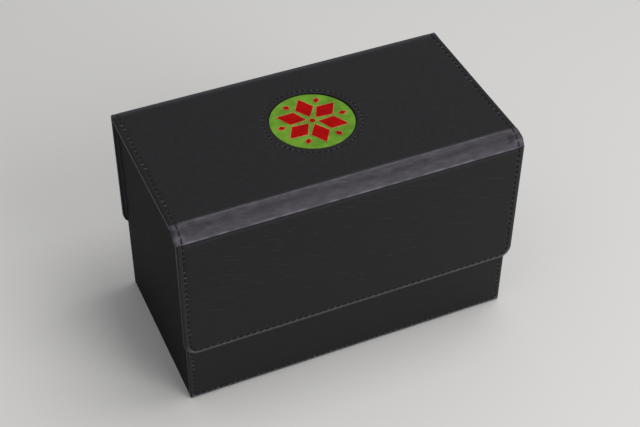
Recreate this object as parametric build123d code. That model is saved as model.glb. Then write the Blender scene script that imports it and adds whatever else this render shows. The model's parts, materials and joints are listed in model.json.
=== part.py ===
from build123d import *
from math import hypot
import os

# A dice chest in black leatherette over board. A wrap cover goes up the back, over the top and
# down two thirds of the front: a fixed back flap, a lid and a front flap. The leather folds that
# join them are its hinges, a tight one along the top rear edge and a wide sloping one at the front.
# Under the lid is a lined compartment. Behind the front flap is an inset drawer, and the band below
# the flap is the front of a second drawer.
#
# Frame: millimetres, +Z up, front towards -Y, origin at the middle of the base on the table.

# ------------------------------------------------------------------ body
BODY_WIDTH = 181.2          # over the leatherette of both sides
BODY_DEPTH = 94.1           # from the front plane to the back plane
CORE = 2.4                  # casing boards
SKIN = 0.8                  # leatherette on the casing and the drawer fronts
BASE_SKIN = 0.6             # felt sheet under the base
BASE_INSET = 1.0            # felt sheet drawn in from the body's sides and back
CORNER_ROUND = 1.2          # upright back corners of the leatherette

# ------------------------------------------------------------------ heights, from the table up
LOWER_FRONT = 35.2          # front of the lower drawer
RAIL_GAP = 0.4              # lower drawer front to the rail above it
RAIL_HEIGHT = 10.0
MIDDLE_BAY = 30.0           # rail top to the underside of the compartment
COMPARTMENT_HEIGHT = 38.7   # underside of the compartment to the rim of the side walls
LID_GAP = 0.3               # rim to the lid

# ------------------------------------------------------------------ wrap cover
LID_OVERHANG = 1.9          # cover beyond each side of the body
PANEL_COVER = 0.6           # leatherette on the panels
PANEL_BOARD = 1.7
PANEL_LINING = 0.5
PANEL_ROUND = 0.9           # edge of a panel's outer face
FLAP_CORNER = 7.0           # lower corners of both flaps
FLAP_GAP = 0.3              # flap to the front plane
FLAP_RAISE = 0.6            # flap's bottom edge above the lower drawer front
BACK_FLAP_BOTTOM = 43.8
INNER_PANEL = 1.8           # velvet panel under the lid
INNER_PANEL_INSET = 2.6     # panel's edge to the compartment's lining
INNER_PANEL_ROUND = 3.0

# ------------------------------------------------------------------ front fold, lid to front flap
FOLD_WIDTH = 8.7            # the fold's share of the top
FOLD_DROP = 5.4             # and of the front
FOLD_ROOM = 2.3             # what is under the fold keeps this far below its outer line
HINGE_DEPTH = 3.0           # axis below the lid's top and inside the flap's face
BEAD_RADIUS = 0.6           # rounded end of the lid's lip, on the axis
BEAD_GAP = 0.4
LIP_THICKNESS = 1.4         # lip where it leaves its panel
LIP_SETBACK = 0.6           # lip below the panel's outer face
LIP_INSET = 1.0             # lip's ends from the panel's sides
TIP_HALF = 0.4              # half thickness of the flap's lip at its free end
TIP_SHIFT = 0.2             # that end lies inwards of the axis
TIP_DROP = 1.0              # and below it

# ------------------------------------------------------------------ rear fold, back flap to lid
REAR_ROUND = 1.0            # leatherette's outer radius over the top rear edge, round the axis
REAR_LEATHER = 1.2          # its thickness there
REAR_GAP = 0.3              # lid's back edge to the plane of the back flap's inner face
REAR_DROP = 2.9             # top of the back flap's board below the lid's top
REAR_UPSTAND = 0.5          # leatherette above that board

# ------------------------------------------------------------------ emblem in the lid
EMBLEM_RADIUS = 22.2        # round window in the lid's cover
EMBLEM_PLAY = 0.2
EMBLEM_Y = 5.3              # window's centre from the middle of the lid
DISC_THICKNESS = 0.3
PETALS = 6
PETAL_ROOT = 2.6            # a kite-shaped petal from here
PETAL_WAIST = 10.4          # widest here
PETAL_TIP = 19.0            # to here
PETAL_HALF = 5.4
DIAMOND_RADIUS = 16.7       # diamonds between the petals
DIAMOND_LONG = 2.8
DIAMOND_WIDE = 2.0
CENTRE_MARK = 1.8

# ------------------------------------------------------------------ rail, magnets and catches
NOTCH_WIDTH = 40.0          # finger notch over the lower drawer
NOTCH_HEIGHT = 6.8
NOTCH_ROUND = 3.0
STRIKE_X = 72.0             # flap magnets and their strike discs
STRIKE_RADIUS = 3.5
STRIKE_THICKNESS = 1.2
CATCH_RADIUS = 5.0          # magnets in the back wall
CATCH_SEAT = 1.4            # depth of a magnet's pocket
CATCH_PROUD = 0.6
CATCH_GAP = 0.3
PLATE_THICKNESS = 0.8       # steel plates on the drawers' backs
PLATE_WIDTH = 16.0
PLATE_HEIGHT = 12.0

# ------------------------------------------------------------------ drawers
DRAWER_BOARD = 2.6          # drawer front's board, under its leatherette
FRONT_ROUND = 0.7           # edge of a drawer front's face
OVERLAY_GAP = 0.3           # lower drawer front to the casing's edge
SIDE_GAP = 0.6              # drawer to the side walls
TOP_GAP = 0.5               # middle drawer front to the compartment
RECESS = 3.0                # middle drawer front behind the front plane
DRAWER_WALL = 2.0
RIM_DROP = 1.6              # drawer walls below the top of their front
SLIDE_STRIP = 0.6           # nylon strips that the drawers run on
SLIDE_STRIP_WIDTH = 10.0
SLIDE_STRIP_X = 70.0
SLIDE_STRIP_END = 6.0       # strips end this far inside the bay
RUN_GAP = 0.3               # drawer to its strips

# ------------------------------------------------------------------ linings and partitions
VELVET = 0.8
PARTITION = 1.6
PARTITION_DROP = 4.0        # partitions below the rim of the drawer
PARTITION_PLAY = 0.3        # partition to the lining, and in its slots
LOWER_CROSS_COUNT = 3
MIDDLE_CROSS_COUNT = 2
COMPARTMENT_CROSS_COUNT = 2
COMPARTMENT_RIM = 2.0       # compartment's lining below the side walls' rim

# ------------------------------------------------------------------ leather pull of the middle drawer
TAB_WIDTH = 16.0
TAB_LENGTH = 19.0
TAB_THICKNESS = 1.2
TAB_LIFT = 1.3              # lower half stands off the drawer's front
TAB_DROP = 4.5              # tab below the top of the drawer's front
TAB_ROUND = 4.0
PULL_STUD_RADIUS = 2.6
PULL_STUD_HEAD = 0.7
PULL_STUD_DOME = 0.56       # rounding of its head
PULL_STUD_SHANK = 1.1
PULL_STUD_DEPTH = 1.8       # shank in the drawer's board
PULL_STUD_DROP = 4.5        # stud's centre below the tab's top

# ------------------------------------------------------------------ places that follow
panel = PANEL_COVER + PANEL_BOARD + PANEL_LINING
side_x = BODY_WIDTH / 2
bay_x = side_x - SKIN - CORE
lid_x = side_x + LID_OVERHANG

outer_y = (BODY_DEPTH + FLAP_GAP) / 2 + panel
front_y = -outer_y + panel + FLAP_GAP
back_y = outer_y - panel
bay_back_y = back_y - SKIN - CORE
rail_back_y = front_y + SKIN + CORE
drawer_front = DRAWER_BOARD + SKIN
overlay_back_y = front_y + drawer_front
edge_y = overlay_back_y + OVERLAY_GAP
drawer_back_y = bay_back_y - CATCH_PROUD - CATCH_GAP - PLATE_THICKNESS

base_top = BASE_SKIN + CORE
lower_front_top = BASE_SKIN + LOWER_FRONT
rail_bottom = lower_front_top + RAIL_GAP
rail_top = rail_bottom + RAIL_HEIGHT
compartment_bottom = rail_top + MIDDLE_BAY
wall_top = compartment_bottom + COMPARTMENT_HEIGHT
lid_bottom = wall_top + LID_GAP
lid_top = lid_bottom + panel

fold_slope = FOLD_DROP / FOLD_WIDTH
lid_edge_y = FOLD_WIDTH - outer_y
flap_top = lid_top - FOLD_DROP
flap_bottom = lower_front_top + FLAP_RAISE
hinge_y = HINGE_DEPTH - outer_y
hinge_z = lid_top - HINGE_DEPTH

lid_back_y = back_y - REAR_GAP
back_flap_top = lid_top - REAR_DROP
rear_hinge_y = outer_y - REAR_ROUND
rear_hinge_z = lid_top - REAR_ROUND

strike_z = (rail_bottom + rail_top) / 2 + (flap_bottom - rail_bottom) / 2
drawer_x = bay_x - SIDE_GAP
lower_floor_z = base_top + SLIDE_STRIP + RUN_GAP
lower_rim_z = lower_front_top - RIM_DROP
middle_floor_z = rail_top + SLIDE_STRIP + RUN_GAP
middle_front_top = compartment_bottom - TOP_GAP
middle_rim_z = middle_front_top - RIM_DROP
middle_face_y = front_y + RECESS
middle_back_y = middle_face_y + drawer_front
compartment_floor_z = compartment_bottom + CORE
compartment_rim_z = wall_top - COMPARTMENT_RIM


# ------------------------------------------------------------------ shared shapes
def block(x0, x1, y0, y1, z0, z1):
    """A box between two opposite corners."""
    middle = Pos((x0 + x1) / 2, (y0 + y1) / 2, (z0 + z1) / 2)
    return middle * Box(x1 - x0, y1 - y0, z1 - z0)


def carried_along_x(points, x0, x1):
    """A closed outline in Y and Z, carried from x0 to x1."""
    face = Plane.YZ.offset(x0) * Polygon(*points, align=None)
    return extrude(face, x1 - x0, dir=(1, 0, 0))


def round_bar_x(radius, y, z, x0, x1):
    """A round bar along X."""
    face = Plane.YZ.offset(x0) * Pos(y, z) * Circle(radius)
    return extrude(face, x1 - x0, dir=(1, 0, 0))


def round_bar_y(radius, x, z, y0, y1):
    """A round bar along Y."""
    face = Plane.XZ.offset(-y1) * Pos(x, z) * Circle(radius)
    return extrude(face, y1 - y0, dir=(0, -1, 0))


def spread(count, low, high):
    """Centres of partitions that share a width into equal cells."""
    step = (high - low) / (count + 1)
    return [low + step * (index + 1) for index in range(count)]


def fold_underside(y, skin=0.0):
    """Height that a piece under the front fold keeps below, at y."""
    room = (FOLD_ROOM + skin) * hypot(1, fold_slope)
    return lid_top - (lid_edge_y - y) * fold_slope - room


def fold_reach(z, skin=0.0):
    """Where, in y, the line under the front fold comes down to the height z."""
    room = (FOLD_ROOM + skin) * hypot(1, fold_slope)
    return lid_edge_y - (lid_top - room - z) / fold_slope


# ------------------------------------------------------------------ casing
def side_outline(skin):
    """A side seen from the side: bevelled under the front fold, stepped back for the drawer front."""
    back = back_y - skin
    front = front_y + skin
    rim = wall_top - skin
    return [
        (back, BASE_SKIN),
        (back, rim),
        (fold_reach(rim, skin), rim),
        (front, fold_underside(front, skin)),
        (front, rail_bottom + skin),
        (edge_y + skin, rail_bottom + skin),
        (edge_y + skin, BASE_SKIN),
    ]


def back_blank(skin):
    """The back between the sides, drawn in by a skin."""
    return block(-bay_x, bay_x, bay_back_y, back_y - skin, BASE_SKIN, wall_top - skin)


def side_wall(side):
    """Board of one side."""
    x0, x1 = sorted((side * bay_x, side * (bay_x + CORE)))
    return carried_along_x(side_outline(SKIN), x0, x1)


def catch_heights():
    """Heights of the two drawer magnets, at the middle of each drawer's back."""
    return ((lower_floor_z + lower_rim_z) / 2, (middle_floor_z + middle_rim_z) / 2)


def back_wall():
    """Board of the back, with a pocket for each drawer magnet."""
    board = back_blank(SKIN)
    for height in catch_heights():
        board -= round_bar_y(CATCH_RADIUS, 0, height, bay_back_y, bay_back_y + CATCH_SEAT)
    return board


def catch_magnets():
    """Round magnets, let into the back wall and a little proud of it."""
    magnets = []
    for height in catch_heights():
        y0 = bay_back_y - CATCH_PROUD
        magnets.append(round_bar_y(CATCH_RADIUS, 0, height, y0, bay_back_y + CATCH_SEAT))
    return Compound(magnets)


def casing_cover():
    """Leatherette round the sides and back, turned over the boards' front and top edges."""
    boards = side_wall(-1) + side_wall(1) + back_blank(SKIN)
    hull = back_blank(0)
    hull += carried_along_x(side_outline(0), -side_x, -bay_x)
    hull += carried_along_x(side_outline(0), bay_x, side_x)
    cover = hull - boards
    uprights = cover.edges().filter_by(Axis.Z)
    corners = uprights.group_by(lambda edge: round(abs(edge.center().X) + edge.center().Y, 3))[-1]
    return fillet(corners, CORNER_ROUND)


def base_board():
    """Board of the base, between the side walls."""
    return block(-bay_x, bay_x, edge_y, bay_back_y, BASE_SKIN, base_top)


def base_skin():
    """Felt sheet that the chest stands on."""
    reach = side_x - BASE_INSET
    return block(-reach, reach, edge_y, back_y - BASE_INSET, 0, BASE_SKIN)


def slide_strips(z0):
    """A pair of nylon strips for a drawer to run on."""
    strips = []
    for side in (-1, 1):
        middle = side * SLIDE_STRIP_X
        x0 = middle - SLIDE_STRIP_WIDTH / 2
        x1 = middle + SLIDE_STRIP_WIDTH / 2
        y0 = edge_y + SLIDE_STRIP_END
        y1 = bay_back_y - SLIDE_STRIP_END
        strips.append(block(x0, x1, y0, y1, z0, z0 + SLIDE_STRIP))
    return Compound(strips)


def shelf(z1):
    """A board across the casing behind the front rail, its top at z1."""
    return block(-bay_x, bay_x, rail_back_y, bay_back_y, z1 - CORE, z1)


# ------------------------------------------------------------------ rail between the drawers
def rail_blank(skin, y0, y1):
    """The rail with its finger notch, drawn in by a skin, from y0 to y1."""
    blank = block(-bay_x, bay_x, y0, y1, rail_bottom + skin, rail_top - skin)
    half = NOTCH_WIDTH / 2 + skin
    crown = rail_bottom + NOTCH_HEIGHT + skin
    notch = block(-half, half, y0, y1, rail_bottom - NOTCH_HEIGHT, crown)
    corners = notch.edges().filter_by(Axis.Y).group_by(Axis.Z)[-1]
    return blank - fillet(corners, NOTCH_ROUND)


def strikes(radius=STRIKE_RADIUS):
    """The two steel discs, flush with the rail's leatherette."""
    y1 = front_y + STRIKE_THICKNESS
    return [round_bar_y(radius, side * STRIKE_X, strike_z, front_y, y1) for side in (-1, 1)]


def front_rail():
    """Board of the rail, with seats for the strike discs."""
    board = rail_blank(SKIN, front_y + SKIN, rail_back_y)
    for disc in strikes():
        board -= disc
    return board


def rail_cover():
    """Leatherette over the rail's face, edges and notch."""
    cover = rail_blank(0, front_y, rail_back_y) - rail_blank(SKIN, front_y + SKIN, rail_back_y)
    for disc in strikes():
        cover -= disc
    return cover


# ------------------------------------------------------------------ top compartment
def front_wall_outline(skin):
    """The compartment's front wall seen from the side, bevelled under the front fold."""
    front = front_y + skin
    return [
        (front, compartment_bottom + skin),
        (rail_back_y, compartment_bottom + skin),
        (rail_back_y, fold_underside(rail_back_y, skin)),
        (front, fold_underside(front, skin)),
    ]


def front_wall():
    """Board of the compartment's front wall."""
    return carried_along_x(front_wall_outline(SKIN), -bay_x, bay_x)


def front_wall_cover():
    """Leatherette over that wall's face and edges."""
    return carried_along_x(front_wall_outline(0), -bay_x, bay_x) - front_wall()


def velvet_tray(half, y0, y1, z0, z1):
    """A lining: a thin open tray that fills a box from wall to wall."""
    outside = block(-half, half, y0, y1, z0, z1)
    reach = half - VELVET
    return outside - block(-reach, reach, y0 + VELVET, y1 - VELVET, z0 + VELVET, z1 + VELVET)


def cross_partition(x, y0, y1, z0, z1):
    """A partition from front to back, clear of the linings."""
    return block(x - PARTITION / 2, x + PARTITION / 2, y0 + PARTITION_PLAY, y1 - PARTITION_PLAY, z0, z1)


def compartment_partitions():
    """Velvet-covered boards that share the compartment."""
    reach = bay_x - VELVET
    z0 = compartment_floor_z + VELVET
    z1 = compartment_rim_z - PARTITION_DROP
    places = spread(COMPARTMENT_CROSS_COUNT, -reach, reach)
    return [cross_partition(x, rail_back_y + VELVET, bay_back_y - VELVET, z0, z1) for x in places]


# ------------------------------------------------------------------ panels of the wrap cover
def panel_blank(plane, width, height, corner, skin, start, stop):
    """A panel's outline drawn in by a skin, from start to stop above its inner face."""
    sheet = Rectangle(width - 2 * skin, height - 2 * skin)
    if corner > skin:
        sheet = fillet(sheet.vertices().group_by(Axis.Y)[0], corner - skin)
    return extrude(plane.offset(start) * sheet, stop - start)


def panel_cover(plane, width, height, corner, goes_on=False):
    """Leatherette over a panel's outer face and round its edges, or flat where it goes on at the top."""
    hull = panel_blank(plane, width, height, corner, 0, 0, panel)
    face = hull.faces().sort_by(Axis(plane.origin, plane.z_dir))[-1]
    edges = face.outer_wire().edges().sort_by(Axis(plane.origin, plane.y_dir))
    hull = fillet(edges[:-1] if goes_on else edges, PANEL_ROUND)
    return hull - panel_blank(plane, width, height, corner, PANEL_COVER, 0, panel - PANEL_COVER)


def lid_plane():
    """Inner face of the lid, looking up."""
    middle = (lid_edge_y + lid_back_y) / 2
    return Plane(origin=(0, middle, lid_bottom), x_dir=(1, 0, 0), z_dir=(0, 0, 1))


def flap_plane():
    """Inner face of the front flap, looking to the front."""
    middle = (flap_bottom + flap_top) / 2
    return Plane(origin=(0, panel - outer_y, middle), x_dir=(1, 0, 0), z_dir=(0, -1, 0))


def back_flap_plane():
    """Inner face of the back flap, looking to the back."""
    middle = (BACK_FLAP_BOTTOM + back_flap_top) / 2
    return Plane(origin=(0, back_y, middle), x_dir=(-1, 0, 0), z_dir=(0, 1, 0))


LID = (lid_plane(), 2 * lid_x, lid_back_y - lid_edge_y, 0)
FLAP = (flap_plane(), 2 * lid_x, flap_top - flap_bottom, FLAP_CORNER)
BACK_FLAP = (back_flap_plane(), 2 * lid_x, back_flap_top - BACK_FLAP_BOTTOM, FLAP_CORNER)


def lid_cover():
    """The lid's leatherette, with the emblem's round window."""
    window = Pos(0, EMBLEM_Y, lid_top) * Cylinder(EMBLEM_RADIUS, 2 * PANEL_COVER)
    return panel_cover(*LID, goes_on=True) - window


def inner_panel():
    """Velvet panel under the lid, inside the compartment's rim."""
    reach = bay_x - VELVET - INNER_PANEL_INSET
    y0 = rail_back_y + VELVET + INNER_PANEL_INSET
    y1 = bay_back_y - VELVET - INNER_PANEL_INSET
    board = block(-reach, reach, y0, y1, lid_bottom - INNER_PANEL, lid_bottom)
    return fillet(board.edges().filter_by(Axis.Z), INNER_PANEL_ROUND)


def flap_magnets():
    """Magnets of the front flap, seated on its leatherette and flush with its lining."""
    y0 = PANEL_COVER - outer_y
    y1 = panel - outer_y
    return [round_bar_y(STRIKE_RADIUS, side * STRIKE_X, strike_z, y0, y1) for side in (-1, 1)]


def without(piece, cutters):
    """A piece with each cutter taken from it."""
    for cutter in cutters:
        piece -= cutter
    return piece


# ------------------------------------------------------------------ folds
def lip_points(root, tip, half):
    """Four corners of a lip, from two points on its panel's edge to a tip of half thickness."""
    (ya, za), (yb, zb) = root
    y, z = tip
    along_y = (ya + yb) / 2 - y
    along_z = (za + zb) / 2 - z
    length = hypot(along_y, along_z)
    out_y = -along_z / length * half
    out_z = along_y / length * half
    if out_y * (ya - yb) + out_z * (za - zb) < 0:
        out_y = -out_y
        out_z = -out_z
    return [(ya, za), (yb, zb), (y - out_y, z - out_z), (y + out_y, z + out_z)]


def front_fold_lid():
    """Leatherette from the lid's front edge to a bead on the hinge's axis."""
    reach = lid_x - LIP_INSET
    upper = lid_top - LIP_SETBACK
    root = ((lid_edge_y, upper), (lid_edge_y, upper - LIP_THICKNESS))
    bead = (hinge_y, hinge_z)
    lip = carried_along_x(lip_points(root, bead, BEAD_RADIUS), -reach, reach)
    return lip + round_bar_x(BEAD_RADIUS, *bead, -reach, reach)


def front_fold_flap():
    """Leatherette from the front flap's top edge up to just short of the bead."""
    reach = lid_x - LIP_INSET
    outer = LIP_SETBACK - outer_y
    root = ((outer, flap_top), (outer + LIP_THICKNESS, flap_top))
    tip = (hinge_y + TIP_SHIFT, hinge_z - TIP_DROP)
    lip = carried_along_x(lip_points(root, tip, TIP_HALF), -reach, reach)
    return lip - round_bar_x(BEAD_RADIUS + BEAD_GAP, hinge_y, hinge_z, -lid_x, lid_x)


def rear_fold_lid():
    """Leatherette that goes on from the lid's back edge and ends rounded over the top rear edge."""
    strip = block(-lid_x, lid_x, lid_back_y, rear_hinge_y, lid_top - REAR_LEATHER, lid_top)
    return strip + round_bar_x(REAR_ROUND, rear_hinge_y, rear_hinge_z, -lid_x, lid_x)


def rear_fold_casing():
    """Leatherette that goes on from the back flap's top edge to just below that rounded end."""
    return block(-lid_x, lid_x, outer_y - REAR_LEATHER, outer_y, back_flap_top, back_flap_top + REAR_UPSTAND)


# ------------------------------------------------------------------ emblem
def emblem_disc():
    """Green disc on the lid's board, in the window of its leatherette."""
    bottom = Plane.XY.offset(lid_top - PANEL_COVER)
    return extrude(bottom * Pos(0, EMBLEM_Y) * Circle(EMBLEM_RADIUS - EMBLEM_PLAY), DISC_THICKNESS)


def kite(angle, root, waist, tip, half):
    """A kite that points outwards at an angle, from its root to its tip."""
    points = [(root, 0), (waist, half), (tip, 0), (waist, -half)]
    return Pos(0, EMBLEM_Y) * Rot(0, 0, angle) * Polygon(*points, align=None)


def emblem_motif():
    """Rosette of kite-shaped petals with a diamond between each two, flush with the leatherette."""
    base = Plane.XY.offset(lid_top - PANEL_COVER + DISC_THICKNESS)
    shapes = [Pos(0, EMBLEM_Y) * Circle(CENTRE_MARK)]
    turn = 360 / PETALS
    for index in range(PETALS):
        shapes.append(kite(90 + turn * index, PETAL_ROOT, PETAL_WAIST, PETAL_TIP, PETAL_HALF))
        low = DIAMOND_RADIUS - DIAMOND_LONG
        high = DIAMOND_RADIUS + DIAMOND_LONG
        shapes.append(kite(90 + turn * (index + 0.5), low, DIAMOND_RADIUS, high, DIAMOND_WIDE))
    height = PANEL_COVER - DISC_THICKNESS
    return Compound([extrude(base * shape, height, dir=(0, 0, 1)) for shape in shapes])


# ------------------------------------------------------------------ drawers
def drawer_face(half, y0, z0, z1):
    """A drawer front's board, and its leatherette, rounded at the edges of its face."""
    y1 = y0 + drawer_front
    hull = block(-half, half, y0, y1, z0, z1)
    hull = fillet(hull.faces().sort_by(Axis.Y)[0].outer_wire().edges(), FRONT_ROUND)
    board = block(-half + SKIN, half - SKIN, y0 + SKIN, y1, z0 + SKIN, z1 - SKIN)
    return board, hull - board


def drawer_box(y0, z0, z1):
    """Floor, sides, back and lining of a drawer behind its front, which ends at y0."""
    floor_top = z0 + DRAWER_WALL
    inside = drawer_x - DRAWER_WALL
    y1 = drawer_back_y
    return {
        "floor": block(-drawer_x, drawer_x, y0, y1, z0, floor_top),
        "left_side": block(-drawer_x, -inside, y0, y1, floor_top, z1),
        "right_side": block(inside, drawer_x, y0, y1, floor_top, z1),
        "back": block(-inside, inside, y1 - DRAWER_WALL, y1, floor_top, z1),
        "lining": velvet_tray(inside, y0, y1 - DRAWER_WALL, floor_top, z1),
    }


def catch_plate(height):
    """Steel plate on a drawer's back that meets the magnet."""
    y1 = drawer_back_y + PLATE_THICKNESS
    z0 = height - PLATE_HEIGHT / 2
    return block(-PLATE_WIDTH / 2, PLATE_WIDTH / 2, drawer_back_y, y1, z0, z0 + PLATE_HEIGHT)


def partition_span(y0, z0, z1):
    """Reach, front, back, bottom and top of a drawer's partitions, inside its lining."""
    lined_wall = DRAWER_WALL + VELVET
    reach = drawer_x - lined_wall
    return reach, y0 + VELVET, drawer_back_y - lined_wall, z0 + lined_wall, z1 - PARTITION_DROP


def lower_partitions():
    """A long partition, and cross partitions that interlock with it by half-depth slots."""
    reach, y0, y1, z0, z1 = partition_span(overlay_back_y, lower_floor_z, lower_rim_z)
    middle_y = (y0 + y1) / 2
    middle_z = (z0 + z1) / 2
    half = PARTITION / 2
    play = PARTITION_PLAY / 2
    slot = half + play
    end = reach - PARTITION_PLAY
    long_one = block(-end, end, middle_y - half, middle_y + half, z0, z1)
    crossings = []
    for x in spread(LOWER_CROSS_COUNT, -reach, reach):
        long_one -= block(x - slot, x + slot, y0, y1, middle_z - play, z1)
        crossing = cross_partition(x, y0, y1, z0, z1)
        crossing -= block(x - slot, x + slot, middle_y - slot, middle_y + slot, z0, middle_z + play)
        crossings.append(crossing)
    return long_one, crossings


def middle_partitions():
    """Cross partitions of the middle drawer."""
    reach, y0, y1, z0, z1 = partition_span(middle_back_y, middle_floor_z, middle_rim_z)
    return [cross_partition(x, y0, y1, z0, z1) for x in spread(MIDDLE_CROSS_COUNT, -reach, reach)]


def pull_places():
    """Top of the pull's tab, and height of its stud."""
    top = middle_front_top - TAB_DROP
    return top, top - PULL_STUD_DROP


def pull_stud():
    """Domed stud: a head on the tab and a shank into the drawer's board."""
    height = pull_places()[1]
    seat = middle_face_y - TAB_THICKNESS
    head = round_bar_y(PULL_STUD_RADIUS, 0, height, seat - PULL_STUD_HEAD, seat)
    head = fillet(head.faces().sort_by(Axis.Y)[0].edges(), PULL_STUD_DOME)
    shank = round_bar_y(PULL_STUD_SHANK, 0, height, seat, middle_face_y + SKIN + PULL_STUD_DEPTH)
    return head + shank


def pull_tab():
    """Leather tab: flat under the stud, its lower half standing off for the fingers."""
    top = pull_places()[0]
    bottom = top - TAB_LENGTH
    bend_top = top - TAB_LENGTH / 2
    bend_bottom = bend_top - 2 * TAB_LIFT
    near = middle_face_y
    far = middle_face_y - TAB_LIFT
    profile = [
        (near, top),
        (near, bend_top),
        (far, bend_bottom),
        (far, bottom),
        (far - TAB_THICKNESS, bottom),
        (far - TAB_THICKNESS, bend_bottom),
        (near - TAB_THICKNESS, bend_top),
        (near - TAB_THICKNESS, top),
    ]
    strap = carried_along_x(profile, -TAB_WIDTH / 2, TAB_WIDTH / 2)
    strap = fillet(strap.edges().filter_by(Axis.Y).group_by(Axis.Z)[0], TAB_ROUND)
    return strap - pull_stud()


# ------------------------------------------------------------------ all pieces
def casing_pieces():
    """Everything fixed to the casing."""
    partitions = compartment_partitions()
    pieces = {
        "base_skin": base_skin(),
        "base_board": base_board(),
        "left_wall": side_wall(-1),
        "right_wall": side_wall(1),
        "back_wall": back_wall(),
        "casing_cover": casing_cover(),
        "catch_magnets": catch_magnets(),
        "front_rail": front_rail(),
        "rail_cover": rail_cover(),
        "rail_strikes": Compound(strikes()),
        "drawer_shelf": shelf(rail_top),
        "lower_slide_strips": slide_strips(base_top),
        "middle_slide_strips": slide_strips(rail_top),
        "compartment_floor": shelf(compartment_floor_z),
        "front_wall": front_wall(),
        "front_wall_cover": front_wall_cover(),
        "compartment_lining": velvet_tray(bay_x, rail_back_y, bay_back_y, compartment_floor_z, compartment_rim_z),
        "back_flap_cover": panel_cover(*BACK_FLAP, goes_on=True),
        "back_flap_board": panel_blank(*BACK_FLAP, PANEL_COVER, 0, panel - PANEL_COVER),
        "rear_fold_casing": rear_fold_casing(),
    }
    for index, partition in enumerate(partitions):
        pieces[f"compartment_partition_{index + 1}"] = partition
    return pieces


def lid_pieces():
    """The lid and what turns with it."""
    return {
        "lid_cover": lid_cover(),
        "lid_board": panel_blank(*LID, PANEL_COVER, PANEL_LINING, panel - PANEL_COVER),
        "lid_lining": panel_blank(*LID, PANEL_COVER, 0, PANEL_LINING),
        "lid_inner_panel": inner_panel(),
        "emblem_disc": emblem_disc(),
        "emblem_motif": emblem_motif(),
        "rear_fold_lid": rear_fold_lid(),
        "front_fold_lid": front_fold_lid(),
    }


def flap_pieces():
    """The front flap and its magnets."""
    magnets = flap_magnets()
    board = panel_blank(*FLAP, PANEL_COVER, PANEL_LINING, panel - PANEL_COVER)
    lining = panel_blank(*FLAP, PANEL_COVER, 0, PANEL_LINING)
    return {
        "flap_cover": panel_cover(*FLAP),
        "flap_board": without(board, magnets),
        "flap_lining": without(lining, magnets),
        "flap_magnets": Compound(magnets),
        "front_fold_flap": front_fold_flap(),
    }


def lower_drawer_pieces():
    """The drawer whose front is the band below the flap."""
    board, cover = drawer_face(side_x, front_y, BASE_SKIN, lower_front_top)
    long_one, crossings = lower_partitions()
    pieces = {"lower_front_board": board, "lower_front_cover": cover}
    for name, piece in drawer_box(overlay_back_y, lower_floor_z, lower_rim_z).items():
        pieces[f"lower_{name}"] = piece
    pieces["lower_long_partition"] = long_one
    for index, crossing in enumerate(crossings):
        pieces[f"lower_cross_partition_{index + 1}"] = crossing
    pieces["lower_catch_plate"] = catch_plate(catch_heights()[0])
    return pieces


def middle_drawer_pieces():
    """The inset drawer behind the flap."""
    board, cover = drawer_face(drawer_x, middle_face_y, middle_floor_z, middle_front_top)
    stud = pull_stud()
    pieces = {"middle_front_board": board - stud, "middle_front_cover": cover - stud}
    for name, piece in drawer_box(middle_back_y, middle_floor_z, middle_rim_z).items():
        pieces[f"middle_{name}"] = piece
    for index, crossing in enumerate(middle_partitions()):
        pieces[f"middle_cross_partition_{index + 1}"] = crossing
    pieces["middle_catch_plate"] = catch_plate(catch_heights()[1])
    pieces["middle_pull_tab"] = pull_tab()
    pieces["middle_pull_stud"] = stud
    return pieces


def main():
    """Build each piece and write it to its own file."""
    os.makedirs("parts", exist_ok=True)
    for group in (casing_pieces, lid_pieces, flap_pieces, lower_drawer_pieces, middle_drawer_pieces):
        for name, piece in group().items():
            export_step(piece, f"parts/{name}.step")


main()
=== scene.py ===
"""Looks of a dice chest in black leatherette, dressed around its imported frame.

All sizes below are in millimetres and in the frame's own axes: X to the right, front towards -Y, Z up.
A wrap cover goes up the back, over the top and down two thirds of the front. Its boards are covered by
skins, joined by two soft folds. A green disc with a red rosette lies in a window of the lid.
"""

import json
import logging
import math
from dataclasses import dataclass, field
from enum import Enum
from typing import Any, Protocol, Sequence

import bmesh
import bpy
import numpy as np
from mathutils import Matrix

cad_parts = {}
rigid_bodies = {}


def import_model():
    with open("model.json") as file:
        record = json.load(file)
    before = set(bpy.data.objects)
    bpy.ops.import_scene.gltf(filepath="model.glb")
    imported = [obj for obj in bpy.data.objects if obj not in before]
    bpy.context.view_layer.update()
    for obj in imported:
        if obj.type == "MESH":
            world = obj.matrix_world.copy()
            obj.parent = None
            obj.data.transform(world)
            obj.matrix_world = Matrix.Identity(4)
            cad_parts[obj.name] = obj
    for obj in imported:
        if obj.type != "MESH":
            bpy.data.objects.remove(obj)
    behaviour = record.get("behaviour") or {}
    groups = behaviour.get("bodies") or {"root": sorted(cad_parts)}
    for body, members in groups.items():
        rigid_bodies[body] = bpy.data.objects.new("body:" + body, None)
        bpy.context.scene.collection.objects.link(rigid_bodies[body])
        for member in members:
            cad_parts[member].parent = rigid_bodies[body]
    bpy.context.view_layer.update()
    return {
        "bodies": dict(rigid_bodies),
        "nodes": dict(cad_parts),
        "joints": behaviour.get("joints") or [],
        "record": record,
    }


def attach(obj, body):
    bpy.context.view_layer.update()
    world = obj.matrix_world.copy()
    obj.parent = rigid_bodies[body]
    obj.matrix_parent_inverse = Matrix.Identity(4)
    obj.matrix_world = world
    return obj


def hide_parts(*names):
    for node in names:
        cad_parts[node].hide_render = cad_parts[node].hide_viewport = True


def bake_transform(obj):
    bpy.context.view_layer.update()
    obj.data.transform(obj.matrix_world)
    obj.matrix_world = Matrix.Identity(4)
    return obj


Array = np.ndarray
Material = bpy.types.Material

MM = 0.001
SEED = 41

log = logging.getLogger("dice_chest")


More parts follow.
